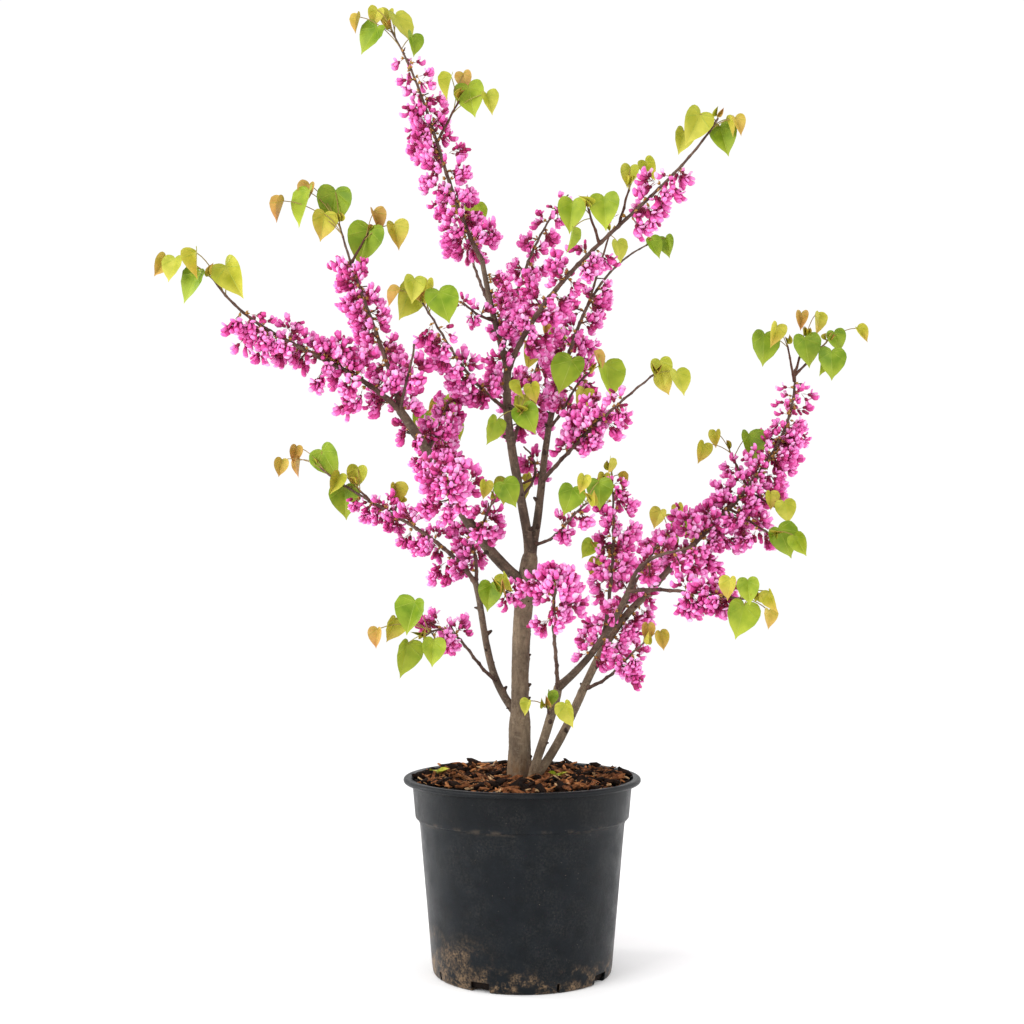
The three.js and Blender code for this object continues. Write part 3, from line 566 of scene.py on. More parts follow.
class Limb:
    """A tapering limb on a centre line that bows in its middle and sways in its two halves."""

    def __init__(self, spec, parent=None):
        self.spec = spec
        self.root = parent.at(spec["at"]) if parent else np.array(spec["at"], float)
        tip = np.array(spec["tip"], float)
        bow, sway = (np.array([x, 0, z]) for x, z in (spec.get("bow", (0, 0)), spec.get("sway", (0, 0))))
        reach = tip - self.root
        early = self.root + reach / 3 + bow * 4 / 3 + sway * 8 / 3
        late = self.root + reach * 2 / 3 + bow * 4 / 3 - sway * 8 / 3
        self.handles = np.array([self.root, early, late, tip])
        chords = np.array([self.line(k / LENGTH_CHORDS) for k in range(LENGTH_CHORDS + 1)])
        self.length = float(np.linalg.norm(np.diff(chords, axis=0), axis=1).sum())
        self.rings = max(1, round(self.length / RING_STEP))
        self.centres = np.array([self.line(k / self.rings) for k in range(self.rings + 1)])

    def line(self, t):
        """A place on the smooth centre line."""
        weights = np.array([(1 - t) ** 3, 3 * (1 - t) ** 2 * t, 3 * (1 - t) * t * t, t ** 3])
        return weights @ self.handles

    def at(self, t):
        """A place on the straight stretches between the solid's rings."""
        ring = min(self.rings - 1, int(t * self.rings))
        share = t * self.rings - ring
        return self.centres[ring] * (1 - share) + self.centres[ring + 1] * share

    def heading(self, t):
        a, b, c = np.diff(self.handles, axis=0)
        return unit((1 - t) ** 2 * a + 2 * (1 - t) * t * b + t * t * c)

    def radius(self, t):
        thick, thin = self.spec["radius"]
        return thick + (thin - thick) * t + self.spec.get("flare", 0) * math.exp(-t * FLARE_FALL)


class Bundle:
    """Points, faces and shades of many small shapes, gathered into one mesh in millimetres."""

    def __init__(self):
        self.points = []
        self.faces = []
        self.shades = []
        self.grain = []
        self.count = 0

    def add(self, points, faces, shades, grain=None):
        self.faces.append(np.asarray(faces, int) + self.count)
        self.points.append(np.asarray(points, float))
        self.shades.append(np.broadcast_to(np.asarray(shades, int), (len(faces),)))
        if grain is not None:
            self.grain.append(grain)
        self.count += len(points)

    def make(self, name, finishes, sharp=None):
        """The object, its faces as quads or triangles as they were given."""
        faces = [tuple(dict.fromkeys(face)) for block in self.faces for face in block.tolist()]
        mesh = make_mesh(name, (np.concatenate(self.points) * MM).tolist(), faces, sharp)
        mesh.polygons.foreach_set("material_index", np.concatenate(self.shades).astype(np.int32))
        if self.grain:
            grain = mesh.attributes.new("grain", "FLOAT_VECTOR", "POINT")
            grain.data.foreach_set("vector", (np.concatenate(self.grain) * MM).ravel())
        for finish in finishes:
            mesh.materials.append(finish)
        return add_object(name, mesh)


def skin(path, headings, radii, sides, relief=None):
    """Round skin along a path, flat at its root and rounded off past its tip. Returns its points,
    faces and a grain that runs along it."""
    last_heading, last_radius, last = headings[-1], radii[-1], path[-1]
    for angle in (0.5, 1.0):
        path = np.vstack([path, last + last_heading * last_radius * math.sin(angle)])
        headings = np.vstack([headings, last_heading])
        radii = np.append(radii, last_radius * math.cos(angle))
    steps = np.linalg.norm(np.diff(path, axis=0), axis=1)
    along = np.concatenate([[0], np.cumsum(steps)])
    turns = 2 * np.pi * np.arange(sides) / sides
    points, grain = [], []
    for k, centre in enumerate(path):
        right, up = square_to(headings[k])
        spokes = np.outer(np.cos(turns), right) + np.outer(np.sin(turns), up)
        out = radii[k] + (relief(turns, along[k], radii[k]) if relief else 0)
        points.append(centre + spokes * np.reshape(out, (-1, 1)))
        round_it = [np.cos(turns) * radii[k], np.sin(turns) * radii[k], np.full(sides, along[k])]
        grain.append(np.stack(round_it, axis=1))
    points = np.concatenate([*points, [path[0]], [path[-1] + last_heading * last_radius * 0.16]])
    grain = np.concatenate([*grain, [[0, 0, 0]], [[0, 0, along[-1]]]])
    return points, tube_faces(len(path), sides, 0, len(points) - 2, len(points) - 1), grain


def knots_of(limb, random):
    """Where old buds and twigs stood: the place along a limb, its side and its size."""
    knots = []
    place = KNOT_STEP * (0.4 + random())
    while place < limb.length - KNOT_END:
        knots.append((place, 2 * math.pi * random(), 0.5 + 0.8 * random()))
        place += KNOT_STEP * (0.45 + random())
    return knots


def bark_relief(limb, sprouts, knots, offset):
    """Height of the bark over a limb's even taper: ridges, cracks, knots and the limbs' collars."""

    def relief(turns, along, radius):
        x, y = np.cos(turns) * radius, np.sin(turns) * radius
        out = []
        for k, turn in enumerate(turns):
            height = 0
            for across, lengthways, rise in BARK_WAVES:
                place = Vector((x[k] * across, y[k] * across, along * lengthways + offset))
                height += noise.noise(place) * rise
            height *= radius
            for spot, facing, size in knots:
                apart = math.remainder(turn - facing, 2 * math.pi) * radius
                gone = ((along - spot) / KNOT_REACH[0]) ** 2 + (apart / KNOT_REACH[1]) ** 2
                if gone < KNOT_LIMIT:
                    height += KNOT_RISE * size * math.exp(-gone)
            out.append(height)
        swell = COLLAR_SWELL * radius * math.exp(-along / COLLAR_FALL) if limb.spec["on"] else 0
        joint = 0
        for spot in sprouts:
            under = 1 / (1 + math.exp((along - spot) / JOINT_BLEND))
            fall = THICKER_FALL * limb.length / max(spot, 1)
            thicker = THICKER_UNDER * under * math.exp(-max(0, spot - along) / fall)
            joint += (thicker - THINNED_AT_JOINT) * radius
        toes = 0.2 * np.cos(TOES * turns + 0.8) - 0.6
        foot = limb.spec.get("flare", 0) * toes * math.exp(-along / TOE_FALL)
        return np.array(out) + swell + joint + foot

    return relief


limbs = {}
for name, row in LIMBS.items():
    limbs[name] = Limb(dict(zip(LIMB_COLUMNS, row)), limbs.get(row[0]))


def bark_finish(name, light, dark, crack, soiled=False):
    """Bark: two greys or browns in soft patches, fine cracks, rings round the wood, pale pores and a
    soiled foot."""
    bark = Finish(name, dark, roughness=0.85, specular=0.22, attribute="grain", stretch=(1, 1, 0.4))
    bark.coat(light, bark.patches(70, 0.38, 0.62, 5.0))
    bark.coat(dark, bark.patches(340, 0.45, 0.65, 6.0), 0.5)
    bark.coat(crack, bark.patches(800, 0.58, 0.68, 3.0), 0.6)
    bark.coat(crack, bark.patches(170, 0.56, 0.7, 3.0, (0.5, 0.5, 1.6)), 0.3)
    bark.coat(paint(158, 144, 122), bark.patches(230, 0.58, 0.7, 3.0, (0.7, 0.7, 1.1)), 0.26)
    if soiled:
        low = bark.ramp("Z", 14 * MM, 36 * MM)
        bark.coat(paint(104, 76, 48), low, bark.patches(110, 0.36, 0.6, 6.0), 0.8)
    bark.relief(bark.patches(500, 0.3, 0.7, 6.0), 0.0005)
    return bark.material


old_bark = bark_finish("old_bark", paint(130, 113, 92), paint(87, 73, 59), paint(50, 41, 33), True)
bough_bark = bark_finish("bough_bark", paint(110, 93, 77), paint(72, 60, 50), paint(46, 37, 31))
scar_bark = bark_finish("scar_bark", paint(84, 66, 54), paint(52, 40, 34), paint(34, 26, 22))
for index, (name, limb) in enumerate(limbs.items()):
    sprouts = [other.spec["at"] * limb.length for other in limbs.values() if other.spec["on"] == name]
    random = seeded(LIMB_SEED * (index + 1))
    knots = knots_of(limb, random)
    sides = TRUNK_SIDES if name == "trunk" else LIMB_SIDES
    shares = np.linspace(0, 1, max(8, round(limb.length / BARK_STEP)))
    path = np.array([limb.line(t) for t in shares])
    headings = np.array([limb.heading(t) for t in shares])
    radii = np.array([limb.radius(t) for t in shares])
    drawn = np.exp(-shares * limb.length / DRAWN_FALL)
    path += np.outer(drawn, DRAWN_FEET.get(name, (0, 0, 0)))
    relief = bark_relief(limb, sprouts, knots, GRAIN_SHIFT * random())
    bark = Bundle()
    points, faces, grain = skin(path, headings, radii, sides, relief)
    bark.add(points, faces, 0, grain)
    for spot, facing, size in knots:
        t = spot / limb.length
        heading = limb.heading(t)
        right, up = square_to(heading)
        out = unit(right * math.cos(facing) + up * math.sin(facing) + heading * STUB_LEAN)
        start = limb.line(t) + out * limb.radius(t) * 0.7
        path = np.array([start + out * reach for reach in (0, limb.radius(t) * 0.35 + 1.2, 3.2 + 2.4 * size)])
        width = min(1.9, 0.45 * limb.radius(t)) * size
        widths = STUB_WIDTHS * width
        points, faces, grain = skin(path, np.repeat(out[None], 3, axis=0), widths, 6)
        bark.add(points, faces, 1, grain)
    finish = bough_bark if limb.spec["on"] else old_bark
    fix(bark.make(name + "_bark", [finish, scar_bark]), "bark", name)

# The crown is a set of flowering branches, each with one stem that grows on from a limb, side twigs,
# bunches of heart-shaped leaves and sprays of blossom, placed by the rule and seeds of the solids.
# A bunch is read as a clock face round the twig's tip: hour, tone and distance out in millimetres.
MASS_COLUMNS = ("on", "at", "tip", "bow", "sway", "radius", "leaves", "blossom", "reach")
MASSES = {
    "top": ("bough_top", 1, (-163, 60, 1144), (2, -1), (-5, -3), (2.8, 1.1),
        "8.5G26 2Y13 11.5b18 10.5b28 9.5b43 4g31", (0, 0.9), (44, 20)),
    "arm": ("leader", 0.98, (209, -190, 954), (-3, 15), (-9, 8), (3.3, 1.1),
        "8.5Y25 8y45 5.5G21 4b14 3.5b22", (0.1, 0.84), (44, 22)),
    "arm_rear": ("bough_top", 0.17, (62, 170, 966), (-14, 1), (2, -1), (2.4, 1),
        "", (0.12, 0.97), (34, 18)),
    "heart": ("bough_fork", 1, (172, 230, 913), (-23, 10), (4, -4), (3, 1),
        "3.5g9 3g27", (0.06, 0.75), (46, 24)),
    "spray_left": ("leader", 0.78, (-110, -150, 762), (-10, -1), (-3, -1), (2.2, 1),
        "9.5Y19 9.5b30 0.5y16 3G22 11y20", (0.14, 0.7), (38, 20)),
    "bud_twig": ("bough_top", 0.45, (-76, -70, 780), (-4, 0), (-3, -1), (1.7, 1),
        "", (0.3, 0.95), (22, 16)),
    "leader_sprig": ("leader", 0.81, (-2, -60, 651), (2, 0), (1, 0), (1.6, 1), "4G9 1y29 12y30 8G36 12y10"),
    "fork_inner": ("bough_fork", 0.78, (80, -20, 704), (0, 2), (3, -1), (2, 1),
        "3.5G21 9G26 6.5y33 1b17", (0.25, 0.85), (30, 18)),
    "fork_right": ("bough_fork", 0.45, (146, -130, 687), (0, 6), (0, 0), (2.6, 1),
        "2y9 3.5y28 4.5b14", (0.18, 0.88), (38, 24)),
    "fork_low": ("bough_fork", 0.07, (74, -90, 546), (4, -4), (3, -3), (2, 1),
        "9.5G21 1.5G18 11.5y24", (0.4, 0.85), (24, 18)),
    "leader_rear": ("leader", 0.31, (3, 110, 627), (16, 1), (0, -1), (1.8, 1), "", (0.45, 0.97), (26, 20)),
    "left_arm": ("bough_left", 1, (-328, -210, 778), (-8, -2), (5, 8), (3.2, 1.1),
        "8.5G21 9.5y43 9.5b56 10.5y24 3Y21", (0.06, 0.9), (46, 18)),
    "left_rise": ("bough_left", 1, (-227, 60, 901), (2, -4), (2, 1), (3, 1.1),
        "11.5G25 10G49 10.5b56 9.5b75 9y20", (0.1, 0.8), (42, 20)),
    "left_short": ("bough_left", 1, (-119, -150, 716), (0, 1), (-1, 0), (2, 1.1),
        "", (0.3, 0.97), (34, 28)),
    "left_inner": ("bough_left", 0.78, (-87, -10, 670), (2, 0), (2, 0), (2, 1.1),
        "", (0.2, 0.97), (34, 30)),
    "left_ball": ("bough_left", 0.5, (-81, -160, 565), (-1, 0), (0, -1), (2.4, 1.4),
        "", (0.2, 0.97), (46, 44)),
    "left_twig": ("bough_left", 0.3, (-31, -80, 551), (-2, 2), (1, 1), (1.8, 1),
        "10.5y17 2G17", (0.15, 0.85), (32, 22)),
    "low_arm": ("stem_left", 1, (-272, 210, 610), (10, 4), (4, 5), (3, 1.1),
        "2G15 9b50 10b35 9b25", (0.08, 0.66), (44, 20)),
    "low_rise": ("stem_left", 1, (-91, 180, 576), (8, 0), (2, 0), (2.4, 1.2), "", (0.35, 0.97), (38, 34)),
    "low_spur": ("stem_left", 0.29, (-109, -110, 397), (1, 18), (-3, -8), (2.2, 1),
        "7.5G31 11G29 9.5y37 9b53 5g18", (0.58, 0.92), (36, 32)),
    "front_ball": ("stem_front", 0.97, (36, -160, 454), (-3, 2), (2, 0), (2.4, 1.4),
        "", (0.42, 0.97), (46, 46)),
    "front_tip": ("bough_front", 1, (182, -150, 494), (-6, 10), (-2, 2), (2.6, 1.1),
        "", (0.2, 0.97), (36, 30)),
    "front_arm": ("bough_front", 0.93, (243, -180, 439), (3, 3), (1, 2), (2.4, 1),
        "7G22 11.5g11 10y27 3y22 4.5b27", (0.4, 0.86), (38, 22)),
    "front_rise": ("bough_front", 0.53, (109, 30, 589), (6, -3), (0, 0), (2.4, 1.1),
        "7.5b14 4.5b14 11.5b10", (0.3, 0.97), (38, 32)),
    "right_arm": ("stem_rear", 1, (364, 190, 736), (24, -19), (-12, 5), (4, 1.4),
        "", (0.02, 0.95), (54, 24)),
    "rear_low": ("stem_rear", 0.48, (137, -90, 388), (5, -2), (3, -1), (2.2, 1),
        "0.5b14 2.5b20", (0.25, 0.95), (38, 26)),
    "foot_sprig": ("stem_front", 0.72, (28, -45, 313), (-1, 1), (-1, 1), (1.5, 1), "9y23 0.5g10 3.5Y26"),
    "trunk_sprig": ("trunk", 0.79, (-27, -40, 449), (-1, 1), (-1, 0), (1.6, 1),
        "8G13 1.5y12", (0.5, 0.75), (16, 16)),
    "back_left": ("bough_left", 0.67, (-109, 220, 673), (-1, -2), (0, 1), (2.6, 1.1),
        "11b22 1Y20 9G24 4g26", (0.3, 0.9), (38, 24)),
    "back_middle": ("leader", 0.57, (33, 230, 776), (-4, -4), (0, 0), (2.6, 1.1),
        "12b22 2G22 8Y24 5g26", (0.25, 0.9), (42, 24)),
    "back_right": ("stem_rear", 0.75, (205, 240, 532), (-7, 0), (0, 0), (2.6, 1.1),
        "1b22 3G24 10y22 6g26", (0.35, 0.92), (40, 26)),
    "back_top": ("bough_top", 0.55, (-79, 190, 935), (-2, -5), (0, 0), (2.2, 1),
        "11b20 2G20 7y22", (0.25, 0.9), (34, 20)),
}
TWIG_COLUMNS = ("at", "tip", "leaves", "blossom", "reach")
TWIGS = {
    "top": ((0.51, (-77, 16, 1041), "11y24 2.5G15 0.5b27 3y37"),),
    "arm": (
        (0.48, (73, -121, 874), "3Y19 8.5G19 7g38"),
        (0.56, (122, -86, 907), "12y15 1.5y32"),
    ),
    "heart": ((0.51, (118, 181, 918), "5y25", (0.2, 0.9), (24, 16)),),
    "leader_rear": ((0.35, (-5, 53, 574), "8.5Y16 4.5y10 2b17"),),
    "left_rise": ((0.79, (-191, 60, 889), "6.5G12 1b20 3y35"),),
    "low_arm": (
        (0.68, (-217, 184, 580), "7.5G22 12y15 9.5y28"),
        (0.55, (-161, 167, 557), "11.5y16"),
    ),
    "front_rise": ((0.56, (92, -10, 496), "9g13 6.5y23"),),
    "right_arm": (
        (0.96, (348, 155, 763), "9G32 10.5y23"),
        (0.99, (381, 198, 780), "6G14 11.5b26 1y25"),
        (0.98, (411, 213, 777), "2.5g14 5.5G27 6.5g29 2.5b48"),
        (0.52, (271, 153, 625), "9y36 10.5b25 2.5G28"),
        (0.42, (310, 58, 512), "3.5G13 3.5g33"),
        (0.51, (320, 101, 550), "11b12 3.5y14"),
    ),
}
NODE_START = "mass_"
CLEAR = 0.3
TWIG = (1.7, 1.1)
SEED = 7919
SPRAY_STEP = 21.5
GOLDEN_TURN = math.radians(137.5)
SPRAY = {"width": 0.4, "droop": 0.22, "stray": 0.8, "forward": (0.1, 0.6), "length": (0.82, 1.18)}
SPRAY_ROD = {"from": 0.5, "to": 0.8, "radius": 0.85}
LEAF_SIZES = {"G": 42, "Y": 42, "g": 30, "y": 29, "b": 24}
LEAF = {"stalk": 0.5, "first": 3, "next": 5, "lowest": 0.3}
LEAF_VARY = {"size": (0.94, 1.06), "depth": (-7, 7), "twist": (-0.55, 0.55)}
LEAF_LEAN = {"outwards": 0.35, "away": 0.012, "face_up": 0.15}
HEART_MIDDLE = 0.42
BLADE_RODS = {"across": (-0.33, 0, 0.33), "from": 0.05, "to": 0.78, "narrowing": 0.4, "radius": 0.12}
DEPTHS = (0, 9, -9, 18, -18, 27, -27, 36, -36)


def pick(limits, random):
    return limits[0] + (limits[1] - limits[0]) * random()


def clear_of(rods, others):
    """Whether round-ended rods keep clear of all others, each given as start, end and radius."""
    if not len(others[2]):
        return True
    starts, ends, radii = others
    v = ends - starts
    c = (v * v).sum(1)
    for start, end, radius in rods:
        u = end - start
        w = start - starts
        a, b, d, e = u @ u, v @ u, w @ u, (v * w).sum(1)
        below = a * c - b * b
        s = np.where(below > 1e-9, np.clip((b * e - c * d) / np.maximum(below, 1e-9), 0, 1), 0)
        t = np.clip((b * s + e) / c, 0, 1)
        s = np.clip((b * t - d) / a, 0, 1)
        gap = np.linalg.norm(start + s[:, None] * u - starts - t[:, None] * v, axis=1)
        if (gap <= radius + radii + CLEAR).any():
            return False
    return True


def gathered(rods):
    """Rods as three arrays."""
    return tuple(np.array([rod[k] for rod in rods], float) for k in range(3))


def rods_of_limb(limb):
    places = [limb.at(k / limb.rings) for k in range(limb.rings + 1)]
    return [(places[k], places[k + 1], limb.radius(k / limb.rings)) for k in range(limb.rings)]


def rods_of_blade(leaf):
    rods = []
    for u in BLADE_RODS["across"]:
        ends = []
        for a, b in ((u, BLADE_RODS["from"]), (u * BLADE_RODS["narrowing"], BLADE_RODS["to"])):
            ends.append(leaf["base"] + (leaf["across"] * a + leaf["lean"] * b) * leaf["size"])
        rods.append((*ends, leaf["size"] * BLADE_RODS["radius"]))
    return rods


def leaf_lying(root, base, lean, facing, size, tone):
    """A leaf: where its stalk and its blade start, and the three directions of the blade."""
    across = unit(np.cross(lean, facing))
    leaf = {"root": root, "base": base, "size": size, "tone": tone}
    return {**leaf, "lean": lean, "across": across, "face": np.cross(across, lean)}


def leaves_round(twig, others, random):
    """The leaves of one bunch, each at the first depth where it is clear."""
    tip = twig.at(1)
    leaves = []
    for order, mark in enumerate(twig.spec["leaves"].split()):
        tone = next(letter for letter in mark if letter.isalpha())
        hour, out = mark.split(tone)
        angle = float(hour) * math.pi / 6
        size = LEAF_SIZES[tone] * pick(LEAF_VARY["size"], random)
        depth = pick(LEAF_VARY["depth"], random)
        twist = pick(LEAF_VARY["twist"], random)
        root = twig.at(max(LEAF["lowest"], 1 - (LEAF["first"] + LEAF["next"] * order) / twig.length))
        lean = unit(np.array([math.sin(angle) * LEAF_LEAN["outwards"], depth * LEAF_LEAN["away"], -1]))
        facing = np.array([math.sin(twist), -math.cos(twist), LEAF_LEAN["face_up"]])
        middle = tip + np.array([math.sin(angle), 0, math.cos(angle)]) * float(out)
        sight = unit(middle - np.array(VIEW_POINT) / MM)
        leaf = leaf_lying(root, middle, lean, facing, size, tone)
        for shift in DEPTHS:
            leaf["base"] = middle - lean * HEART_MIDDLE * size + sight * (depth + shift)
            blade = rods_of_blade(leaf)
            whole = [*blade, (root, leaf["base"], LEAF["stalk"])]
            own = [rod for other in leaves for rod in rods_of_blade(other)]
            if clear_of(whole, others) and (not own or clear_of(blade, gathered(own))):
                leaves.append(dict(leaf))
                break
    return leaves


def sprays_along(limb, random):
    """Sprays of blossom along the flowering stretch of a limb."""
    first, last = limb.spec["blossom"]
    wide, narrow = limb.spec["reach"]
    steps = max(3, round((last - first) * limb.length / SPRAY_STEP))
    turn = random() * 2 * math.pi
    sprays = []
    for k in range(steps + 1):
        t = first + (last - first) * k / steps
        heading = limb.heading(t)
        right, up = square_to(heading)
        turn += GOLDEN_TURN + (random() - 0.5) * SPRAY["stray"]
        heading = heading * pick(SPRAY["forward"], random) + right * math.cos(turn) + up * math.sin(turn)
        heading[2] -= SPRAY["droop"]
        length = (wide + (narrow - wide) * k / steps) * pick(SPRAY["length"], random)
        spray = {"root": limb.at(t), "heading": unit(heading), "length": length, "share": k / steps}
        sprays.append({**spray, "limb": limb, "t": t})
    return sprays


def rods_of_spray(spray):
    ends = [spray["root"] + spray["heading"] * spray["length"] * SPRAY_ROD[k] for k in ("from", "to")]
    return [(*ends, spray["length"] * SPRAY["width"] * SPRAY_ROD["radius"])]


held = {name: rods_of_limb(limb) for name, limb in limbs.items()}
masses = {}
for index, (name, row) in enumerate(MASSES.items()):
    stem = Limb(dict(zip(MASS_COLUMNS, row)), limbs[row[0]])
    twigs = [stem]
    for twig in TWIGS.get(name, ()):
        twigs.append(Limb({"radius": TWIG, **dict(zip(TWIG_COLUMNS, twig))}, stem))
    masses[name] = {"twigs": twigs, "random": seeded(SEED * (index + 1)), "leaves": [], "sprays": []}
    held[name] = [rod for twig in twigs for rod in rods_of_limb(twig)]


def held_by_others(name):
    return gathered([rod for owner, rods in held.items() if owner != name for rod in rods])


for name, mass in masses.items():
    others = held_by_others(name)
    for twig in mass["twigs"]:
        mass["leaves"] += leaves_round(twig, others, mass["random"])
    for leaf in mass["leaves"]:
        held[name] += [*rods_of_blade(leaf), (leaf["root"], leaf["base"], LEAF["stalk"])]
for name, mass in masses.items():
    others = held_by_others(name)
    for twig in mass["twigs"]:
        if "blossom" in twig.spec:
            drawn = sprays_along(twig, mass["random"])
            mass["sprays"] += [spray for spray in drawn if clear_of(rods_of_spray(spray), others)]
    for spray in mass["sprays"]:
        held[name] += rods_of_spray(spray)

REGIONS = {
    "top": ("top", "arm", "bud"),
    "middle": ("heart", "leader", "fork", "trunk", "foot"),
    "left": ("left", "spray"),
    "low": ("low", "front"),
    "right": ("right", "rear"),
    "back": ("back",),
}
region_masses = {}
for region, starts in REGIONS.items():
    region_masses[region] = [name for name in masses if name.startswith(starts)]


def nodes_of(names):
    return [NODE_START + name for name in names]


# The twigs are last year's shoots, dark red-brown and thin, a little bent at every bud. Short
# spurs stand on them where the flowers sit. They are lofted as the limbs are, all in one mesh
# for each side of the crown.
TWIG_STEP = 3.4
TWIG_SKIN_SIDES = 9
NODE_STEP = 13
BEND = 0.55
NODE_SWELL = 0.28
NODE_WIDTH = 1.8
TWIG_COLLAR = {"swell": 0.3, "fall": 6}
TWIG_SEEDS = (31, 7)
SPUR_SHARE = 0.5
SPUR_RADIUS = (1.0, 0.7)
BLOOM_COLUMNS = ("from", "to", "amount", "thinning", "open", "bare")
USUAL_BLOOM = (0, 1, 1, 0.5, 0.85, ())
BLOOM = {
    "top": (0.05, 1, 1.8, 0.91),
    "arm": (0, 0.5, 1.2, 0.4),
    "arm_rear": (0, 1, 0.6),
    "heart": (0, 0.7, 1, 0.6, 0.85, (1,)),
    "spray_left": (0, 0.5, 0.8),
    "bud_twig": (0, 1, 0, 0.7),
    "fork_right": (0.25, 0.86, 0.9, 0.8),
    "fork_low": (0, 1, 0.3),
    "leader_rear": (0, 0.7, 0.6),
    "left_arm": (0, 0.87, 1, 0.6),
    "left_rise": (0, 1, 1.15, 0.35),
    "left_short": (0.2, 0.6, 0.5, 0.3),
    "left_inner": (0, 1, 1.1, 0.2),
    "left_ball": (0, 1, 0.3, 0.3),
    "left_twig": (0, 0.9, 0.8),
    "low_arm": (0.1, 1, 1.1, 0.25),
    "low_rise": (0, 0.75, 0.6),
    "front_ball": (0.47, 1, 1, 0, 0.5),
    "front_tip": (0, 0.8, 0.2, 0.7),
    "front_arm": (0.12, 0.9, 2.3, 0.3, 0),
    "front_rise": (0.1, 1, 1.3, 0.4),
    "right_arm": (0.14, 1, 2.3, 0.74, 0.5),
    "rear_low": (0.4, 0.78, 0.9, 0.3),
    "trunk_sprig": (0, 1, 0.5),
    "back_top": (0.55,),
}
blooms = {}
for name in masses:
    row = BLOOM.get(name, ())
    blooms[name] = dict(zip(BLOOM_COLUMNS, (*row, *USUAL_BLOOM[len(row):])))

twig_bark = bark_finish("twig_bark", paint(116, 92, 78), paint(70, 50, 44), paint(44, 32, 30))
young_bark = bark_finish("young_bark", paint(104, 74, 58), paint(74, 46, 38), paint(50, 32, 28))


def twig_skin(limb, random):
    """Skin of a twig that bends a little and swells at each bud."""
    shares = np.linspace(0, 1, max(5, round(limb.length / TWIG_STEP)))
    start, facing = random() * NODE_STEP, 2 * math.pi * random()
    path, headings, radii = [], [], []
    for t in shares:
        along = t * limb.length + start
        heading = limb.heading(t)
        right, up = square_to(heading)
        sway = 2 * abs((along / NODE_STEP) % 2 - 1) - 1
        fade = min(1, 6 * t)
        bend = right * math.cos(facing) + up * math.sin(facing)
        to_node = math.remainder(along, NODE_STEP)
        path.append(limb.line(t) + bend * sway * BEND * fade)
        headings.append(heading)
        collar = TWIG_COLLAR["swell"] * math.exp(-t * limb.length / TWIG_COLLAR["fall"])
        node = NODE_SWELL * math.exp(-(to_node / NODE_WIDTH) ** 2)
        radii.append(limb.radius(t) * (1 + collar + node))
    return skin(np.array(path), np.array(headings), np.array(radii), TWIG_SKIN_SIDES)


for region, names in region_masses.items():
    bundle = Bundle()
    for name in names:
        by_length, by_order = TWIG_SEEDS
        random = seeded(SEED + by_length * len(NODE_START + name) + by_order * list(masses).index(name))
        for order, twig in enumerate(masses[name]["twigs"]):
            points, faces, grain = twig_skin(twig, random)
            bundle.add(points, faces, 0 if order == 0 else 1, grain)
        for spray in masses[name]["sprays"]:
            if not blooms[name]["from"] <= spray["share"] <= blooms[name]["to"]:
                continue
            end = spray["root"] + spray["heading"] * spray["length"] * SPUR_SHARE
            path = np.linspace(spray["root"], end, 3)
            headings = np.repeat(spray["heading"][None], 3, axis=0)
            radii = np.linspace(*SPUR_RADIUS, 3)
            points, faces, grain = skin(path, headings, radii, 5)
            bundle.add(points, faces, 1, grain)
    fix(bundle.make("twigs_" + region, [twig_bark, young_bark]), "bark", *nodes_of(names))

# Heart-shaped leaves, just out, hang tip down on thin stalks: the larger ones green, the younger ones
# lime or bronze, folded up from the midrib, and two still furled at each tip. A blade is a closed
# thin mesh with seven raised veins that fan out from its stalk.
HALF_HEART = (
    (0, 0.045), (0.06, -0.02), (0.14, -0.055), (0.24, -0.065), (0.34, -0.045),
    (0.425, 0.02), (0.48, 0.13), (0.5, 0.26), (0.475, 0.4), (0.41, 0.55),
    (0.31, 0.69), (0.2, 0.81), (0.105, 0.9), (0.045, 0.975), (0, 1.07),
)
VEIN_ENDS = (3, 5, 8, 14)
STALK_JOINT = (0, 0.09)
BLADE_RINGS = (0.36, 0.72, 0.93, 1.0)
VEIN_HALF_WIDTH = 0.009
VEIN_RISE = 0.008
VEIN_EDGE = 70
BLADE_THICKNESS = 0.012
BLADE_SPREAD = 0.96
LEAF_SCALES = {
    "arm": 0.92, "fork_inner": 1.1, "fork_low": 0.78, "leader_rear": 0.75, "leader_sprig": 0.82,
    "left_rise": 1.25, "left_twig": 0.75, "low_arm": 1.1, "front_arm": 0.92, "front_rise": 0.85,
    "foot_sprig": 0.72, "trunk_sprig": 0.85, "back_left": 0.85, "back_middle": 0.85, "back_top": 0.85,
}
FOLDS = {"G": (0.05, 0.75), "Y": (0.1, 0.85), "g": (0.1, 0.9), "y": (0.15, 1.1), "b": (0.3, 1.3)}
FURLED = (1.4, 2.2)
CURL = (-0.2, 0.16)
SPIN = (-0.5, 0.5)
TIP_TURN = (-0.28, 0.28)
WAVE = 0.02
RIPPLES = 9
TONE_SHIFT = 50
STALK_RADIUS = 0.62
STALK_ARCH = 0.24
STALK_RINGS = 7
FURLED_SIZES = (9, 15)
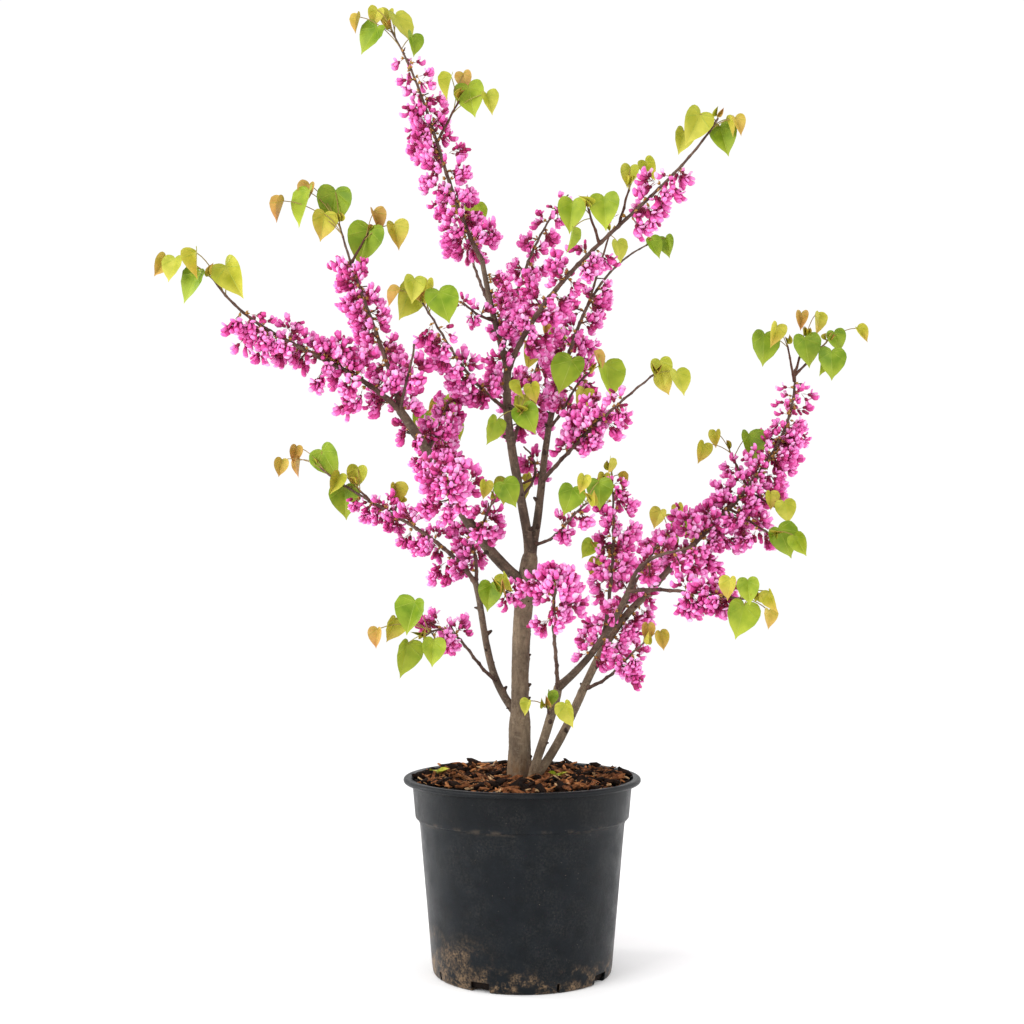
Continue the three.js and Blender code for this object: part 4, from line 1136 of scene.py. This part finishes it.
LEAF_PAINT = {
    "leaf_green": ((132, 154, 36), (100, 128, 16), (158, 168, 50)),
    "leaf_fresh": ((150, 164, 42), (120, 142, 24), (176, 184, 60)),
    "leaf_lime": ((176, 174, 58), (150, 154, 38), (198, 188, 78)),
    "leaf_yellow": ((192, 184, 70), (168, 164, 46), (208, 170, 86)),
    "leaf_bronze": ((198, 172, 80), (174, 152, 54), (198, 150, 84)),
    "leaf_copper": ((194, 158, 84), (174, 138, 62), (188, 128, 82)),
    "vein": ((152, 168, 64), (132, 152, 44), (186, 184, 92)),
    "leaf_stalk": ((158, 154, 70), (144, 118, 66), (144, 118, 66)),
}
TONES = {"G": (0, 0, 1), "g": (0, 1), "Y": (1, 2, 2), "y": (2, 3), "b": (3, 4, 5)}
leaf_finishes = []
for name, colours in LEAF_PAINT.items():
    light, dark, edge = (paint(*colour) for colour in colours)
    green = Finish(name, dark, roughness=0.5, specular=0.22, attribute="grain")
    green.coat(light, green.patches(2.4, 0.34, 0.66, 1.5))
    green.coat(edge, green.ramp("Y", 1.05, 0.4), 0.8)
    leaf_finishes.append(green.material)
VEIN_SHADE = list(LEAF_PAINT).index("vein")
STALK_SHADE = list(LEAF_PAINT).index("leaf_stalk")


def blade_pattern():
    """Flat points of a blade's upper side and its faces, with which of them are veins."""
    outline = [(x, y, k in VEIN_ENDS) for k, (x, y) in enumerate(HALF_HEART)]
    outline += [(-x, y, vein) for x, y, vein in reversed(outline[1:-1])]
    joint = np.array(STALK_JOINT)
    points, rise, rim = [(*STALK_JOINT,)], [0.0], [False]
    rays = []
    for x, y, vein in outline:
        out = np.array([x, y]) - joint
        square = np.array([-out[1], out[0]]) / np.linalg.norm(out)
        for part in ((-1, 0, 1) if vein else (0,)):
            ray = [0]
            for ring in BLADE_RINGS:
                width = VEIN_HALF_WIDTH * (1.25 - ring) * part
                points.append(tuple(joint + out * ring + square * width))
                rise.append(VEIN_RISE * (1.2 - ring) if vein and part == 0 else 0.0)
                rim.append(ring == 1.0)
                ray.append(len(points) - 1)
            rays.append((ray, vein and part < 1))
    faces, veins = [], []
    for k, (ray, vein) in enumerate(rays):
        after = rays[(k + 1) % len(rays)][0]
        for ring in range(len(BLADE_RINGS)):
            faces.append((ray[ring], ray[ring + 1], after[ring + 1], after[ring]))
            veins.append(vein)
    return np.array(points), np.array(rise), np.array(rim), np.array(faces), np.array(veins)


blade_points, blade_rise, blade_rim, blade_faces, blade_veins = blade_pattern()


def add_leaf(bundle, leaf, folds, scale, random):
    """One leaf: its upper and lower sides, joined at the rim, and its arched stalk."""
    u, v = blade_points.T
    left, right, curl, phase = pick(folds, random), pick(folds, random), pick(CURL, random), 6 * random()
    fold = np.where(u < 0, left, right)
    ripple = np.sin(RIPPLES * np.arctan2(u, v - 0.3) + phase) * np.abs(u) * 2
    bend = fold * np.abs(u) + curl * v * v + WAVE * ripple
    narrow = 1 / np.sqrt(1 + fold * fold)
    spin, tip_turn = pick(SPIN, random), pick(TIP_TURN, random)
    across = leaf["across"] * math.cos(spin) + leaf["face"] * math.sin(spin)
    face = np.cross(across, leaf["lean"])
    lean = leaf["lean"] * math.cos(tip_turn) + across * math.sin(tip_turn)
    across = across * math.cos(tip_turn) - leaf["lean"] * math.sin(tip_turn)
    size = leaf["size"] * BLADE_SPREAD * scale
    base = leaf["base"] + leaf["lean"] * HEART_MIDDLE * leaf["size"] - lean * HEART_MIDDLE * size
    sides = []
    for sign in (1, -1):
        depth = bend + np.where(blade_rim, 0, sign * BLADE_THICKNESS / 2) + sign * blade_rise
        place = np.outer(u * narrow, across) + np.outer(v, lean) + np.outer(depth, face)
        sides.append(base + place * size)
    count = len(blade_points)
    lower = np.where(blade_rim, np.arange(count), np.arange(count) + count)
    faces = np.concatenate([blade_faces, lower[blade_faces][:, ::-1]])
    tones = TONES[leaf["tone"]]
    tone = tones[int(random() * len(tones))]
    shades = np.where(np.concatenate([blade_veins, blade_veins]), VEIN_SHADE, tone)
    grain = np.stack([u, v, np.full(count, TONE_SHIFT * random())], axis=1) / MM
    bundle.add(np.concatenate(sides), faces, shades, np.concatenate([grain, grain]))
    joint = base + lean * STALK_JOINT[1] * size
    span = np.linalg.norm(joint - leaf["root"])
    arch = (leaf["root"] + joint) / 2 + np.array([0, 0, STALK_ARCH * span])
    shares = np.linspace(0, 1, STALK_RINGS)[:, None]
    path = (1 - shares) ** 2 * leaf["root"] + 2 * shares * (1 - shares) * arch + shares ** 2 * joint
    headings = np.array([unit(step) for step in np.gradient(path, axis=0)])
    points, faces, _ = skin(path, headings, np.full(STALK_RINGS, STALK_RADIUS), 5)
    bundle.add(points, faces, STALK_SHADE, points / MM * 0.02)


def furled_leaves(twig, random):
    """The youngest leaves at the tip of a shoot, still folded shut and upright."""
    leaves = []
    for hand in (-1, 1):
        lean = unit(twig.heading(1) + np.array([hand * 0.9 * random(), 0.6 * (random() - 0.5), 0.9]))
        facing = np.array([random() - 0.5, -1, 0.1])
        size, tone = pick(FURLED_SIZES, random), "yb"[hand > 0]
        leaves.append(leaf_lying(twig.at(1), twig.at(1) + lean * 3, lean, facing, size, tone))
    return leaves


for region, names in region_masses.items():
    bundle = Bundle()
    for name in names:
        random = seeded(SEED * 3 + 17 * list(masses).index(name))
        scale = LEAF_SCALES.get(name, 1)
        for leaf in masses[name]["leaves"]:
            add_leaf(bundle, leaf, FOLDS[leaf["tone"]], scale, random)
        for twig in masses[name]["twigs"]:
            if twig.spec["leaves"]:
                for leaf in furled_leaves(twig, random):
                    add_leaf(bundle, leaf, FURLED, 1, random)
    with_leaves = [name for name in names if masses[name]["leaves"]]
    fix(bundle.make("leaves_" + region, leaf_finishes, VEIN_EDGE), "blossom", *nodes_of(with_leaves))

# Two seedlings have come up in the mulch, one near the rim on the left and one right of the stems.
# Each is four small pale leaves, lying open on a stem that is hidden among the chips.
SEEDLINGS = ((-100, 8), (41, -8))
SEEDLING_LEAVES = 4
SEEDLING_SIZES = (9, 13)
SEEDLING_HEIGHT = 5
SEEDLING_SEED = 977

bundle = Bundle()
random = seeded(SEEDLING_SEED)
for x, y in SEEDLINGS:
    root = np.array([x, y, bed_height(x * MM, y * MM) / MM + SEEDLING_HEIGHT])
    for k in range(SEEDLING_LEAVES):
        turn = GOLDEN_TURN * k
        lean = unit(np.array([math.cos(turn), math.sin(turn), 0.35]))
        leaf = leaf_lying(root, root + lean * 3, lean, [0, 0, 1], pick(SEEDLING_SIZES, random), "Y")
        add_leaf(bundle, leaf, FOLDS["G"], 1, random)
fix(bundle.make("seedlings", leaf_finishes), "mulch", "mulch")

# The blossom is small pea flowers on short spurs: a thin stalk, a magenta cup, a banner, two wings and
# a fat keel, some half open or in bud. They are dealt out in a few pinks to the sprays of the solids,
# to clusters between them and to old wood, given by a limb's name or the number of a mass's twig.
FLOWER_LENGTH = 26.0
FLOWER_SIZES = (0.82, 1.08)
FLOWERS_PER_MM = 0.195
FILL_STEP = 11.5
FILL_LENGTH = (0.8, 1.4)
SPRAY_STRETCH = 1.05
SHORTEST = 29
SPREAD = 0.95
FLOWER_DROOP = 0.6
FLOWER_MIDDLE = 0.65
FLOWER_ROLL = 0.9
FLOWER_ROOM = {"across": 0.6, "from": -0.25, "to": 1.1, "at": 0.7}
TIP_FADE = 1.5
CLUSTER_FORWARD = 0.3
CLUSTER_SUNK = 0.6
SCALES_A_CLUSTER = 3
ROUGHLY_UP = (0.0001, 0, 1)
BUD_SHARE = 0.22
HALF_OPEN_SHARE = 0.26
OLD_WOOD = {
    "front_rise": (
        ("bough_front", 0.35, 0.75, 32, 0.4),
        ("bough_front", 0.3, 0.7, 32, 0.7, (-1, 0, 0.2)),
        (0, 0.25, 0.6, 30, 1.6, (-0.8, 0, 0)),
    ),
    "leader_rear": (
        ("leader", 0.84, 1, 34, 1.4, (-1, 0, 0.3)),
        ("bough_top", 0, 0.3, 30, 0.8),
        ("bough_top", 0.3, 0.88, 37, 2, (1.7, 0, 0)),
    ),
    "left_inner": (("bough_left", 0.5, 1, 34, 0.9),),
    "right_arm": (
        ("stem_rear", 0.85, 1, 36, 0.8),
        (0, 0.25, 0.42, 36, 0.5, (-0.8, 0, 1)),
        (0, 0.64, 0.8, 38, 1.8, (1, 0, -0.5)),
        (5, 0.05, 0.7, 40, 2),
        (6, 0.05, 0.6, 34, 1.8),
    ),
    "rear_low": (
        ("stem_rear", 0.68, 0.9, 36, 1, (-1, -0.3, 0.6)),
        ("stem_rear", 0.7, 0.88, 34, 1.6, (1, -0.3, -0.5)),
    ),
    "arm": ((0, 0.58, 0.81, 30, 1.5, (-0.1, 0, -0.75)),),
    "heart": ((0, 0.5, 0.64, 34, 0.8, (1, 0, -0.3)),),
    "top": ((0, 0.42, 0.6, 42, 1.3, (-1.2, 0, 0)),),
    "spray_left": ((0, 0.2, 0.84, 30, 1.3, (-0.5, 0, -0.8)),),
    "fork_right": ((0, 0.22, 0.55, 36, 2.4, (-0.4, 0, 1)),),
    "left_rise": ((0, 0.45, 0.8, 30, 1.2, (-1, 0, 0.2)),),
    "left_arm": (
        (0, 0.2, 0.44, 40, 2, (0.3, 0, 1.2)),
        (0, 0.55, 0.85, 36, 1.1, (0, 0, -1)),
    ),
    "left_ball": ((0, 0.7, 1, 36, 0.8, (1.2, 0, 1)),),
    "low_arm": ((0, 0.58, 0.75, 32, 1.2, (0, 0, -0.8)),),
    "low_rise": ((0, 0.08, 0.5, 32, 1, (-1, 0, 0.3)),),
}
TIP_CLUSTERS = {"front_ball": 11, "left_ball": 4, "left_short": 0, "front_tip": 1, "low_rise": 1}
TIP_REACH = 0.8
USUAL_TIP_CLUSTERS = 3
ROUND_TIP_REACH = 26
CLEAR_OF_LEAVES = 8.5
BARE_STRIP = 4.6
LEVEL_WOOD = 0.6
PETAL_PAINT = {
    "petal_light": ((246, 192, 230), (240, 166, 216), (196, 60, 140)),
    "petal_pale": ((240, 150, 210), (232, 126, 196), (184, 44, 124)),
    "petal_pink": ((232, 110, 184), (220, 88, 168), (164, 24, 98)),
    "petal_rose": ((214, 74, 152), (196, 52, 130), (150, 16, 84)),
    "petal_deep": ((178, 36, 108), (150, 22, 84), (124, 10, 62)),
    "cup": ((142, 14, 66), (110, 8, 46), (110, 8, 46)),
    "flower_stalk": ((158, 80, 74), (126, 52, 60), (140, 96, 64)),
    "bud_scale": ((196, 156, 74), (160, 106, 54), (128, 120, 48)),
}
petal_finishes = []
for name, colours in PETAL_PAINT.items():
    light, dark, base = (paint(*colour) for colour in colours)
    petal = Finish(name, dark, roughness=0.5, specular=0.3, attribute="grain")
    petal.coat(light, petal.patches(3, 0.35, 0.65, 2.0))
    petal.coat(base, petal.ramp("X", 0.06, 0.48))
    petal_finishes.append(petal.material)
STALK_PART, CUP_PART, BANNER_PART, WING_PART, KEEL_PART, KEEL_TIP, BUD_PART = range(7)
SHADES_OF = np.array([
    [6, 5, 0, 1, 2, 1, 3],
    [6, 5, 1, 2, 3, 2, 4],
    [6, 5, 1, 1, 3, 1, 3],
    [6, 5, 0, 2, 2, 0, 4],
    [6, 5, 2, 3, 4, 2, 4],
])
SHADE_SHARES = (0.26, 0.24, 0.22, 0.18, 0.1)
SCALE_SHADE = list(PETAL_PAINT).index("bud_scale")


def drop(start, end, side, width, height, profile, sides=6, bend=0.0):
    """A closed petal or cup along a line. Its profile says where each ring lies and how full it is,
    and its faces go from start to end, ring by ring. Returns each point's share of the way too."""
    start, end = np.array(start, float), np.array(end, float)
    axis = unit(end - start)
    side = unit(np.array(side, float) - axis * np.dot(side, axis))
    top = np.cross(axis, side)
    turns = 2 * np.pi * np.arange(sides) / sides
    points = [start[None]]
    for share, full in profile:
        centre = start + (end - start) * share + top * bend * math.sin(math.pi * share)
        ring = np.outer(np.cos(turns), side) * width / 2 + np.outer(np.sin(turns), top) * height / 2
        points.append(centre + ring * full)
    points.append(end[None])
    faces = tube_faces(len(profile), sides, 1, 0, 1 + len(profile) * sides)
    ways = np.concatenate([[0], np.repeat([share for share, _ in profile], sides), [1]])
    return np.concatenate(points), faces, ways


def flower_shape(openness):
    """Points, faces, parts and grain of one flower along +X with its banner up, for an openness
    from 0, a bud, to 1."""
    y = (0, 1, 0)
    stalk = drop((-1, 0, 0), (8.6, 0, 0), y, 1.0, 1.0, ((0.5, 1),), sides=3)
    cup = drop((6.8, 0, 0.2), (12.8, 0, 0.3), y, 4.6, 5.0, ((0.3, 0.85), (0.8, 1)), sides=5)
    parts = [((STALK_PART,) * 2, stalk), ((CUP_PART,) * 3, cup)]
    if openness == 0:
        bud = drop((10.5, 0, 0), (18.4, 0, -0.6), y, 4.6, 5.2, ((0.3, 0.9), (0.8, 0.8)))
        parts.append(((BUD_PART,) * 3, bud))
    else:
        tip = (15.4 - 2 * openness, 0, 5.4 + 3.6 * openness)
        banner = drop((11.0, 0, 0.6), tip, y, 7.2, 2.4, ((0.36, 0.85), (0.88, 0.86)), sides=5, bend=-0.8)
        keel_rings = ((0.12, 0.68), (0.4, 0.94), (0.74, 1), (0.94, 0.66))
        keel = drop((10.6, 0, -0.6), (23.4, 0, 0.4), y, 5.8, 6.6, keel_rings, bend=-3.2)
        parts.append(((BANNER_PART,) * 3, banner))
        parts.append(((KEEL_PART, KEEL_PART, KEEL_PART, KEEL_TIP, KEEL_TIP), keel))
    if openness == 1:
        for hand in (-1, 1):
            wing_root, wing_tip = (11.4, 1.5 * hand, 0.8), (20.2, 3.3 * hand, 2.4)
            wing = drop(wing_root, wing_tip, (0, 0.4, 1), 5.2, 2.4, ((0.3, 0.86), (0.88, 0.86)), sides=5)
            parts.append(((WING_PART,) * 3, wing))
    points, faces, labels, grain, count = [], [], [], [], 0
    for label, (part_points, part_faces, ways) in parts:
        points.append(part_points)
        faces.append(part_faces + count)
        labels.append(np.repeat(label, len(part_faces) // len(label)))
        grain.append(np.stack([ways, *(part_points[:, 1:].T / FLOWER_LENGTH)], axis=1))
        count += len(part_points)
    return tuple(np.concatenate(part) for part in (points, faces, labels, grain))


flower_kinds = [flower_shape(openness) for openness in (1, 0.45, 0)]
scale_points, scale_faces, scale_ways = drop((0, 0, 0), (6, 0, 0), (0, 1, 0), 3.2, 2.6, ((0.5, 1),), sides=4)
scale_grain = np.stack([scale_ways, scale_ways, scale_ways], axis=1) / MM


def clusters_along(limb, stretch, reach, amount, random, side=(0, 0, -0.12)):
    """Small clusters set all along a stretch of a limb, each a golden turn on from the last."""
    first, last = stretch
    steps = round((last - first) * limb.length / FILL_STEP * amount)
    turn = 2 * math.pi * random()
    clusters = []
    for k in range(steps):
        share = (k + random()) / steps
        t = first + (last - first) * share
        heading = limb.heading(t)
        right, up = square_to(heading)
        turn += GOLDEN_TURN
        out = heading * CLUSTER_FORWARD + right * math.cos(turn) + up * math.sin(turn) + np.array(side)
        length = (reach[0] + (reach[1] - reach[0]) * share ** TIP_FADE) * pick(FILL_LENGTH, random)
        root = limb.line(t) + unit(out) * limb.radius(t) * CLUSTER_SUNK
        cluster = {"root": root, "heading": unit(out), "length": max(SHORTEST, length), "share": share}
        clusters.append({**cluster, "limb": limb, "t": t})
    return clusters


def clusters_of(name, mass, random):
    """The sprays of the solids, smaller ones between them, on old wood and round bare tips."""
    bloom = blooms[name]
    clusters = [{**spray, "length": spray["length"] * SPRAY_STRETCH} for spray in mass["sprays"]]
    for twig in mass["twigs"]:
        if "blossom" in twig.spec:
            stretch, reach = twig.spec["blossom"], twig.spec["reach"]
            clusters += clusters_along(twig, stretch, reach, bloom["amount"], random)
    bare = [mass["twigs"][k] for k in bloom["bare"]]
    clusters = [cluster for cluster in clusters if bloom["from"] <= cluster["share"] <= bloom["to"]]
    clusters = [cluster for cluster in clusters if cluster["limb"] not in bare]
    for wood, first, last, reach, amount, *side in OLD_WOOD.get(name, ()):
        limb = limbs[wood] if wood in limbs else mass["twigs"][wood]
        old = clusters_along(limb, (first, last), (reach, reach), amount, random, *side)
        clusters += [{**cluster, "share": 0} for cluster in old]
    stem = mass["twigs"][0]
    if stem.spec["leaves"] == "" and stem.spec["reach"][1] >= ROUND_TIP_REACH:
        count = TIP_CLUSTERS.get(name, USUAL_TIP_CLUSTERS)
        for k in range(count):
            turn = 2 * math.pi * (k + random()) / count
            right, up = square_to(stem.heading(1))
            out = stem.heading(1) + (right * math.cos(turn) + up * math.sin(turn)) * (0.4 + random())
            tip = {"root": stem.line(1), "heading": unit(out), "share": 0, "limb": stem, "t": 1}
            tip["length"] = stem.spec["reach"][1] * TIP_REACH
            clusters.append(tip)
    return clusters


def hides_wood(cluster, middle):
    """Whether a flower with this middle would stand before the wood that bears it."""
    limb, t = cluster["limb"], cluster["t"]
    x, _, z = limb.heading(t)
    away = middle - limb.line(t)
    level = math.hypot(x, z)
    aside = abs(away[0] * z - away[2] * x) / level
    return away[1] < 0 and level > LEVEL_WOOD and aside < BARE_STRIP + limb.radius(t) * 0.5


def flowers_of(cluster, bloom, random):
    """Root, heading, size and kind of each flower of a cluster, fewer of them towards a shoot's tip."""
    flowers = []
    length, heading = cluster["length"], cluster["heading"]
    spur = max(0.0, length - FLOWER_LENGTH)
    right, up = square_to(heading)
    full = 1 - bloom["thinning"] * cluster["share"] ** TIP_FADE
    for k in range(max(1, round(length * FLOWERS_PER_MM * full))):
        size = pick(FLOWER_SIZES, random)
        along = spur * (0.15 + 0.85 * random()) + 1.5
        turn = k * GOLDEN_TURN + random()
        wide = SPREAD * math.sqrt(random())
        out = heading + (right * math.cos(turn) + up * math.sin(turn)) * wide
        out[2] -= FLOWER_DROOP * (0.4 + random())
        chance = random()
        kind = 2 if chance < BUD_SHARE else 1 if chance < BUD_SHARE + HALF_OPEN_SHARE else 0
        shade = int(np.searchsorted(np.cumsum(SHADE_SHARES), random() * 0.999))
        roll = FLOWER_ROLL * (random() - 0.5)
        root = cluster["root"] + heading * along
        middle = root + unit(out) * FLOWER_LENGTH * size * FLOWER_MIDDLE
        if random() > bloom["open"] or not hides_wood(cluster, middle):
            flowers.append((root, unit(out), size, kind, shade, roll))
    return flowers


def level_sides(heading):
    """Two directions square to a heading, the first of them level."""
    side = unit(np.cross(ROUGHLY_UP, heading))
    return side, np.cross(heading, side)


def add_flowers(bundle, flowers):
    """Copies of the flower shapes, each in its place, all of one kind at a time."""
    for number, (points, faces, labels, grain) in enumerate(flower_kinds):
        chosen = [flower for flower in flowers if flower[3] == number]
        if not chosen:
            continue
        frames = []
        for _, heading, size, _, _, roll in chosen:
            side, top = level_sides(heading)
            turned_side = side * math.cos(roll) + top * math.sin(roll)
            frames.append(np.array([heading, turned_side, np.cross(heading, turned_side)]) * size)
        roots = np.array([flower[0] for flower in chosen])
        placed = np.einsum("pk,nkj->npj", points, np.array(frames)) + roots[:, None]
        offsets = np.arange(len(chosen))[:, None, None] * len(points)
        shades = SHADES_OF[[flower[4] for flower in chosen]][:, labels]
        all_faces = (faces[None] + offsets).reshape(-1, 4)
        spread = np.stack([np.zeros(len(chosen)), roots[:, 0], roots[:, 2]], axis=1)
        all_grain = (grain[None] + spread[:, None]).reshape(-1, 3) / MM
        bundle.add(placed.reshape(-1, 3), all_faces, shades.ravel(), all_grain)


all_leaves = [leaf for mass in masses.values() for leaf in mass["leaves"]]
leaf_bases, leaf_leans, leaf_sides, leaf_faces = (
    np.array([leaf[key] for leaf in all_leaves]) for key in ("base", "lean", "across", "face")
)
leaf_sizes = np.array([leaf["size"] for leaf in all_leaves])


def in_a_leaf(flower):
    """Whether a flower would stand in the blade of a leaf."""
    away = flower[0] + flower[1] * FLOWER_LENGTH * FLOWER_ROOM["at"] * flower[2] - leaf_bases
    along = (away * leaf_leans).sum(1) / leaf_sizes
    aside = np.abs((away * leaf_sides).sum(1)) / leaf_sizes
    off = np.abs((away * leaf_faces).sum(1))
    beside = (aside < FLOWER_ROOM["across"]) & (along > FLOWER_ROOM["from"]) & (along < FLOWER_ROOM["to"])
    return bool((beside & (off < CLEAR_OF_LEAVES)).any())


for region, names in region_masses.items():
    bundle = Bundle()
    for name in names:
        random = seeded(SEED * 5 + 29 * list(masses).index(name))
        flowers = []
        for cluster in clusters_of(name, masses[name], random) if masses[name]["sprays"] else []:
            drawn = flowers_of(cluster, blooms[name], random)
            flowers += [flower for flower in drawn if not in_a_leaf(flower)]
            for _ in range(SCALES_A_CLUSTER):
                stray = np.array([random() - 0.5, random() - 0.5, random() - 0.3])
                along = unit(cluster["heading"] + 0.8 * stray)
                scale = scale_points @ np.array([along, *level_sides(along)]) + cluster["root"] + along
                bundle.add(scale, scale_faces, SCALE_SHADE, scale_grain)
        add_flowers(bundle, flowers)
    with_blossom = [name for name in names if masses[name]["sprays"]]
    fix(bundle.make("blossom_" + region, petal_finishes), "blossom", *nodes_of(with_blossom))
